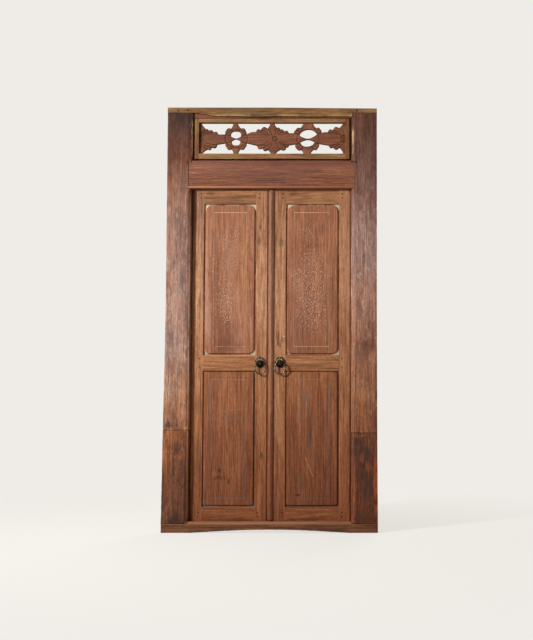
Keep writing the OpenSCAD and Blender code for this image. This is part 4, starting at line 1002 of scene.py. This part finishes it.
# %% Find the outlines and notches
board = own_mesh("fretwork")
board.normal_update()
rim = {}
for edge in board.edges:
    if len(edge.link_faces) == 2:
        facing = sorted(face.normal.y for face in edge.link_faces)
        if facing[0] < -0.9 and abs(facing[1]) < 0.3:
            a, b = edge.verts
            rim.setdefault(a, []).append(b)
            rim.setdefault(b, []).append(a)
outlines, seen_points = [], set()
for start in rim:
    if start in seen_points:
        continue
    loop, last, here = [], None, start
    while here not in seen_points:
        seen_points.add(here)
        loop.append(Vector((here.co.x, here.co.z)))
        onward = [v for v in rim[here] if v is not last and v not in seen_points]
        last, here = here, onward[0] if onward else start
    outlines.append(loop)
board.free()
outlines = [loop for loop in outlines
            if max(p.x for p in loop) - min(p.x for p in loop) < 0.5 and len(loop) > 6]


def notches(loop):
    """Points where the window's outline turns sharply into the wood, and middles of the lobes."""
    area = sum(a.x * b.y - b.x * a.y for a, b in zip(loop, loop[1:] + loop[:1]))
    if area < 0:
        loop = loop[::-1]
    found = []
    for i, point in enumerate(loop):
        before, after = point - loop[i - 1], loop[(i + 1) % len(loop)] - point
        if before.length and after.length:
            turn = math.atan2(before.x * after.y - before.y * after.x, before.dot(after))
            if turn > math.radians(24):
                found.append((i, point))
    lobes = []
    for (i, _), (j, _) in zip(found, found[1:] + found[:1]):
        gap = (j - i) % len(loop)
        if gap >= 4:
            lobes.append(loop[(i + gap // 2) % len(loop)])
    return [point for _, point in found], lobes


# Notches further than this from the middle height, by the board's long edges, are left plain
CARVED_HALF_HEIGHT = 0.072
low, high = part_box("fretwork")
middle_z = (low.z + high.z) / 2
cut_points, lobe_points = [], []
for loop in outlines:
    found, lobes = notches(loop)
    cut_points += [p for p in found if abs(p.y - middle_z) < CARVED_HALF_HEIGHT]
    lobe_points += [p for p in lobes if abs(p.y - middle_z) < CARVED_HALF_HEIGHT]
print(len(outlines), "cuts with", len(cut_points), "notches and", len(lobe_points), "lobes")

# %% Gouge the board
# Each motif's heart, and how far its grooves run in towards it
MOTIFS = [(-0.384, 0.9), (-0.1865, 0.45), (0.015, 0.62), (0.1895, 0.45), (0.387, 0.9)]
# Heart, radius and petals of each rosette, and the hearts of the two hoops
ROSETTES = [(0.015, 0.0125, 8), (-0.376, 0.016, 9), (0.379, 0.016, 9)]
HOOPS = [-0.1865, 0.1895]
# How far from a cut the front is rounded, in metres, and how deep, in millimetres
ROUND_WIDE, ROUND_DEEP = 0.0046, 2.4


def groove_lines():
    """Grooves as start, end, depth and half width, each run towards the heart of its motif."""
    lines = []
    for points, share, deep, wide in ((cut_points, 1.0, 3.0, 1.9), (lobe_points, 0.75, 1.9, 1.4)):
        for point in points:
            heart, reach = min(MOTIFS, key=lambda m: abs(m[0] - point.x))
            middle = Vector((heart, middle_z))
            lines.append((point, point.lerp(middle, reach * share), deep, wide))
    return lines


def press_depth(x, z, away):
    """How far the front is pressed in at each point, in millimetres."""
    deep = ROUND_DEEP * np.clip(1 - away / ROUND_WIDE, 0, 1) ** 2
    for start, end, groove, wide in groove_lines():
        run = np.array((end.x - start.x, end.y - start.y))
        length = max(np.hypot(*run), 1e-6)
        along = np.clip(((x - start.x) * run[0] + (z - start.y) * run[1]) / length ** 2, 0, 1)
        # the groove bows a little, as a leaf's vein does
        side = math.copysign(1.0, start.y - middle_z) * math.copysign(1.0, run[0] + 1e-9)
        bow = side * 0.10 * length * 4 * along * (1 - along)
        off = np.hypot(x - start.x - run[0] * along + run[1] / length * bow,
                       z - start.y - run[1] * along - run[0] / length * bow)
        deep = np.maximum(deep, groove * (1 - 0.6 * along) * np.exp(-(off / (wide * MM)) ** 2))
    for heart, radius, petals in ROSETTES:
        r = np.hypot(x - heart, z - middle_z)
        angle = np.arctan2(z - middle_z, x - heart)
        deep = np.maximum(deep, 2.8 * np.exp(-((r - radius) / 0.0018) ** 2))
        petal = np.abs(np.sin(angle * petals / 2))
        deep = np.maximum(deep, 2.0 * (r < radius) * (r > radius * 0.35)
                          * np.exp(-(petal * r / 0.0014) ** 2))
        deep = np.maximum(deep, 2.0 * np.exp(-((r - radius * 0.35) / 0.0013) ** 2))
    for heart in HOOPS:
        ring = np.abs(np.hypot((x - heart) / 1.25, z - middle_z) - 0.047)
        deep = np.maximum(deep, 1.8 * np.exp(-(ring / 0.0016) ** 2) * (away > 0.002))
    return deep


# Size of a facet in millimetres; depth of the carved front and spacing along outlines in metres
VOXEL, FRONT_DEEP, SPACING = 1.7, 0.0045, 0.0008
shape = own_mesh("fretwork")
rough_mesh = bpy.data.meshes.new("board")
shape.to_mesh(rough_mesh)
shape.free()
carved = bpy.data.objects.new("carved_board", rough_mesh)
bpy.context.scene.collection.objects.link(carved)
remesh = carved.modifiers.new("facets", "REMESH")
remesh.mode, remesh.voxel_size = "VOXEL", VOXEL * MM
graph = bpy.context.evaluated_depsgraph_get()
fine_mesh = bpy.data.meshes.new_from_object(carved.evaluated_get(graph))
carved.modifiers.clear()
carved.data = fine_mesh

count = len(fine_mesh.vertices)
place = np.empty(count * 3)
fine_mesh.vertices.foreach_get("co", place)
place = place.reshape(-1, 3)
samples = []
for loop in outlines:
    for a, b in zip(loop, loop[1:] + loop[:1]):
        steps = max(1, int((b - a).length / SPACING))
        samples += [a.lerp(b, k / steps) for k in range(steps)]
tree = kdtree.KDTree(len(samples))
for i, point in enumerate(samples):
    tree.insert((point.x, 0, point.y), i)
tree.balance()
front = place[:, 1] < low.y + FRONT_DEEP
away = np.full(count, 1.0)
for i in np.nonzero(front)[0]:
    away[i] = tree.find((place[i, 0], 0, place[i, 2]))[2]
deep = np.zeros(count)
deep[front] = press_depth(place[front, 0], place[front, 2], away[front])
gouge = np.array([noise.noise(Vector(p) * 160) for p in place[front]])
deep[front] += 0.14 * gouge + 0.14
share = np.clip((low.y + FRONT_DEEP - place[:, 1]) / FRONT_DEEP + 0.15, 0, 1)
place[:, 1] += deep * share * MM
place = np.clip(place, np.array(low), np.array(high))
fine_mesh.vertices.foreach_set("co", place.ravel())
fine_mesh.update()
fine_mesh.shade_smooth()
fine_mesh.materials.clear()
fine_mesh.materials.append(carved_finish)
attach(carved, "frame")
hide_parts("fretwork")
print("carved board:", len(fine_mesh.polygons), "facets, deepest",
      round(float(deep.max()), 2), "mm")

# %% [markdown]
# ## Roses and rings
# Each pull is a brass rose with petals round a boss and a beaded rim, and a cast ring that hangs
# from an eye through the boss. The rose is a disc of points whose height is a formula of radius
# and angle, which is easier to even out than petals modelled one by one. The ring's bar is a
# circle swept round, but never quite even, and thinner at the top where it wears in the eye.

# %% Rose
# Radii in millimetres: the boss, the inside and outside of the petals, the beaded rim and the whole
BOSS, PETALS_IN, PETALS_OUT, RIM, ROSE_RADIUS = 7.6, 9.5, 22.6, 24.2, 28.5
SPOKES = 144


def rose_height(r, angle):
    """How far the rose stands proud, in millimetres, at r millimetres from its middle."""
    dome = 1.6 + 6.6 * math.sqrt(max(0.0, 1 - (r / 25.5) ** 2))
    if r > RIM:
        beads = 0.5 * abs(math.sin(angle * 24))
        return 1.1 + (1.7 + beads) * math.sqrt(max(0.0, 1 - ((r - 26.3) / 2.3) ** 2))
    if r > PETALS_OUT:
        return 1.3
    if r > PETALS_IN:
        part = (r - PETALS_IN) / (PETALS_OUT - PETALS_IN)
        flute = abs(math.cos(angle * 6)) ** 0.6
        bulge = math.sin(math.pi * min(1.0, part * 1.02)) ** 0.7
        return dome * (0.62 + 0.30 * bulge) - 2.1 * (1 - flute) * (0.35 + 0.65 * part)
    if r > BOSS:
        return dome - 1.9
    return 7.2 + 2.4 * math.sqrt(max(0.0, 1 - (r / 8.2) ** 2))


def skin(shape, pairs):
    """Joins each pair of rings of points with a band of faces."""
    for a, b in pairs:
        for k in range(len(a)):
            n = (k + 1) % len(a)
            shape.faces.new((a[k], a[n], b[n], b[k]))


def rose(name, side, body):
    low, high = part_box(f"{side}_pull_rose")
    x, z = (low.x + high.x) / 2, (low.z + high.z) / 2
    shape, rings = bmesh.new(), []
    radii = [0.4 + 28.0 * k / 47 for k in range(48)] + [ROSE_RADIUS]
    for r in radii:
        ring = []
        for k in range(SPOKES):
            angle = 2 * math.pi * k / SPOKES
            proud = min(9.8, rose_height(r, angle)) if r < ROSE_RADIUS else 0.0
            worn = 0.18 * noise.noise(Vector((r * 0.35 * math.cos(angle), x * 90,
                                              r * 0.35 * math.sin(angle))))
            ring.append(shape.verts.new((x + r * MM * math.cos(angle),
                                         -max(0.0, proud + worn if proud else 0.0) * MM,
                                         z + r * MM * math.sin(angle))))
        rings.append(ring)
    skin(shape, zip(rings, rings[1:]))
    shape.faces.new(rings[0][::-1])
    shape.faces.new(rings[-1])
    bmesh.ops.recalc_face_normals(shape, faces=shape.faces)
    return show(shape, name, body, "aged_brass", brass_finish, f"{side}_pull_rose", smooth=60)


# The hoop is a little longer than wide
HOOP_NARROW = 0.91


def cast_ring(name, side):
    low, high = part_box(f"{side}_ring")
    middle = (low + high) / 2
    bar = (high.y - low.y) / 2
    full = (high.x - low.x) / 2 - bar
    reach = HOOP_NARROW * full
    around, across, shape = 120, 28, bmesh.new()
    rings = []
    for k in range(around):
        turn = 2 * math.pi * k / around
        top = max(0.0, math.cos(turn)) ** 8
        uneven = noise.noise(Vector((math.cos(turn) * 2, math.sin(turn) * 2, reach)))
        thick = bar * (0.97 - 0.10 * top + 0.02 * math.cos(turn * 3 + 1) + 0.025 * uneven)
        thick = min(thick, bar * 0.995)
        ring = []
        for j in range(across):
            tilt = 2 * math.pi * j / across
            out = thick * math.cos(tilt)
            ring.append(shape.verts.new((middle.x + (reach + out) * math.sin(turn),
                                         middle.y + thick * math.sin(tilt),
                                         middle.z + (full + out) * math.cos(turn))))
        rings.append(ring)
    skin(shape, zip(rings, rings[1:] + rings[:1]))
    bmesh.ops.recalc_face_normals(shape, faces=shape.faces)
    return show(shape, name, f"{side}_ring", "aged_brass", brass_finish, f"{side}_ring", smooth=80)


for side in ("left", "right"):
    rose(f"{side}_petalled_rose", side, f"{side}_leaf")
    cast_ring(f"{side}_cast_ring", side)

# %% [markdown]
# ## Worn edges
# No edge on old joinery is sharp. The exact solids arrive with every face cut apart at its rim,
# so each piece is first welded, then bevelled. Hewn frame pieces are rounder than the planed
# leaves.

# %% Welds and bevels
BEVEL_STEPS, BEVEL_ANGLE = 2, 40


def soften(name, width):
    piece = nodes[name]
    weld = piece.modifiers.new("weld", "WELD")
    weld.merge_threshold = 0.00001
    bevel = piece.modifiers.new("worn edges", "BEVEL")
    bevel.width = width * MM
    bevel.segments = BEVEL_STEPS
    bevel.limit_method = "ANGLE"
    bevel.angle_limit = math.radians(BEVEL_ANGLE)
    bevel.use_clamp_overlap = True


ROUNDED = {1.6: ["lintel", "head_rail", "cap_board"],
           1.0: ["transom_top", "transom_bottom", "transom_left", "transom_right"],
           0.8: [f"{side}_{part}" for side in ("left", "right") for part in (
               "heel_stile", "meeting_stile", "top_rail", "lock_rail", "bottom_rail",
               "upper_panel", "lower_panel")]}
for width, names in ROUNDED.items():
    for name in names:
        soften(name, width)
print("softened", sum(len(names) for names in ROUNDED.values()), "pieces")
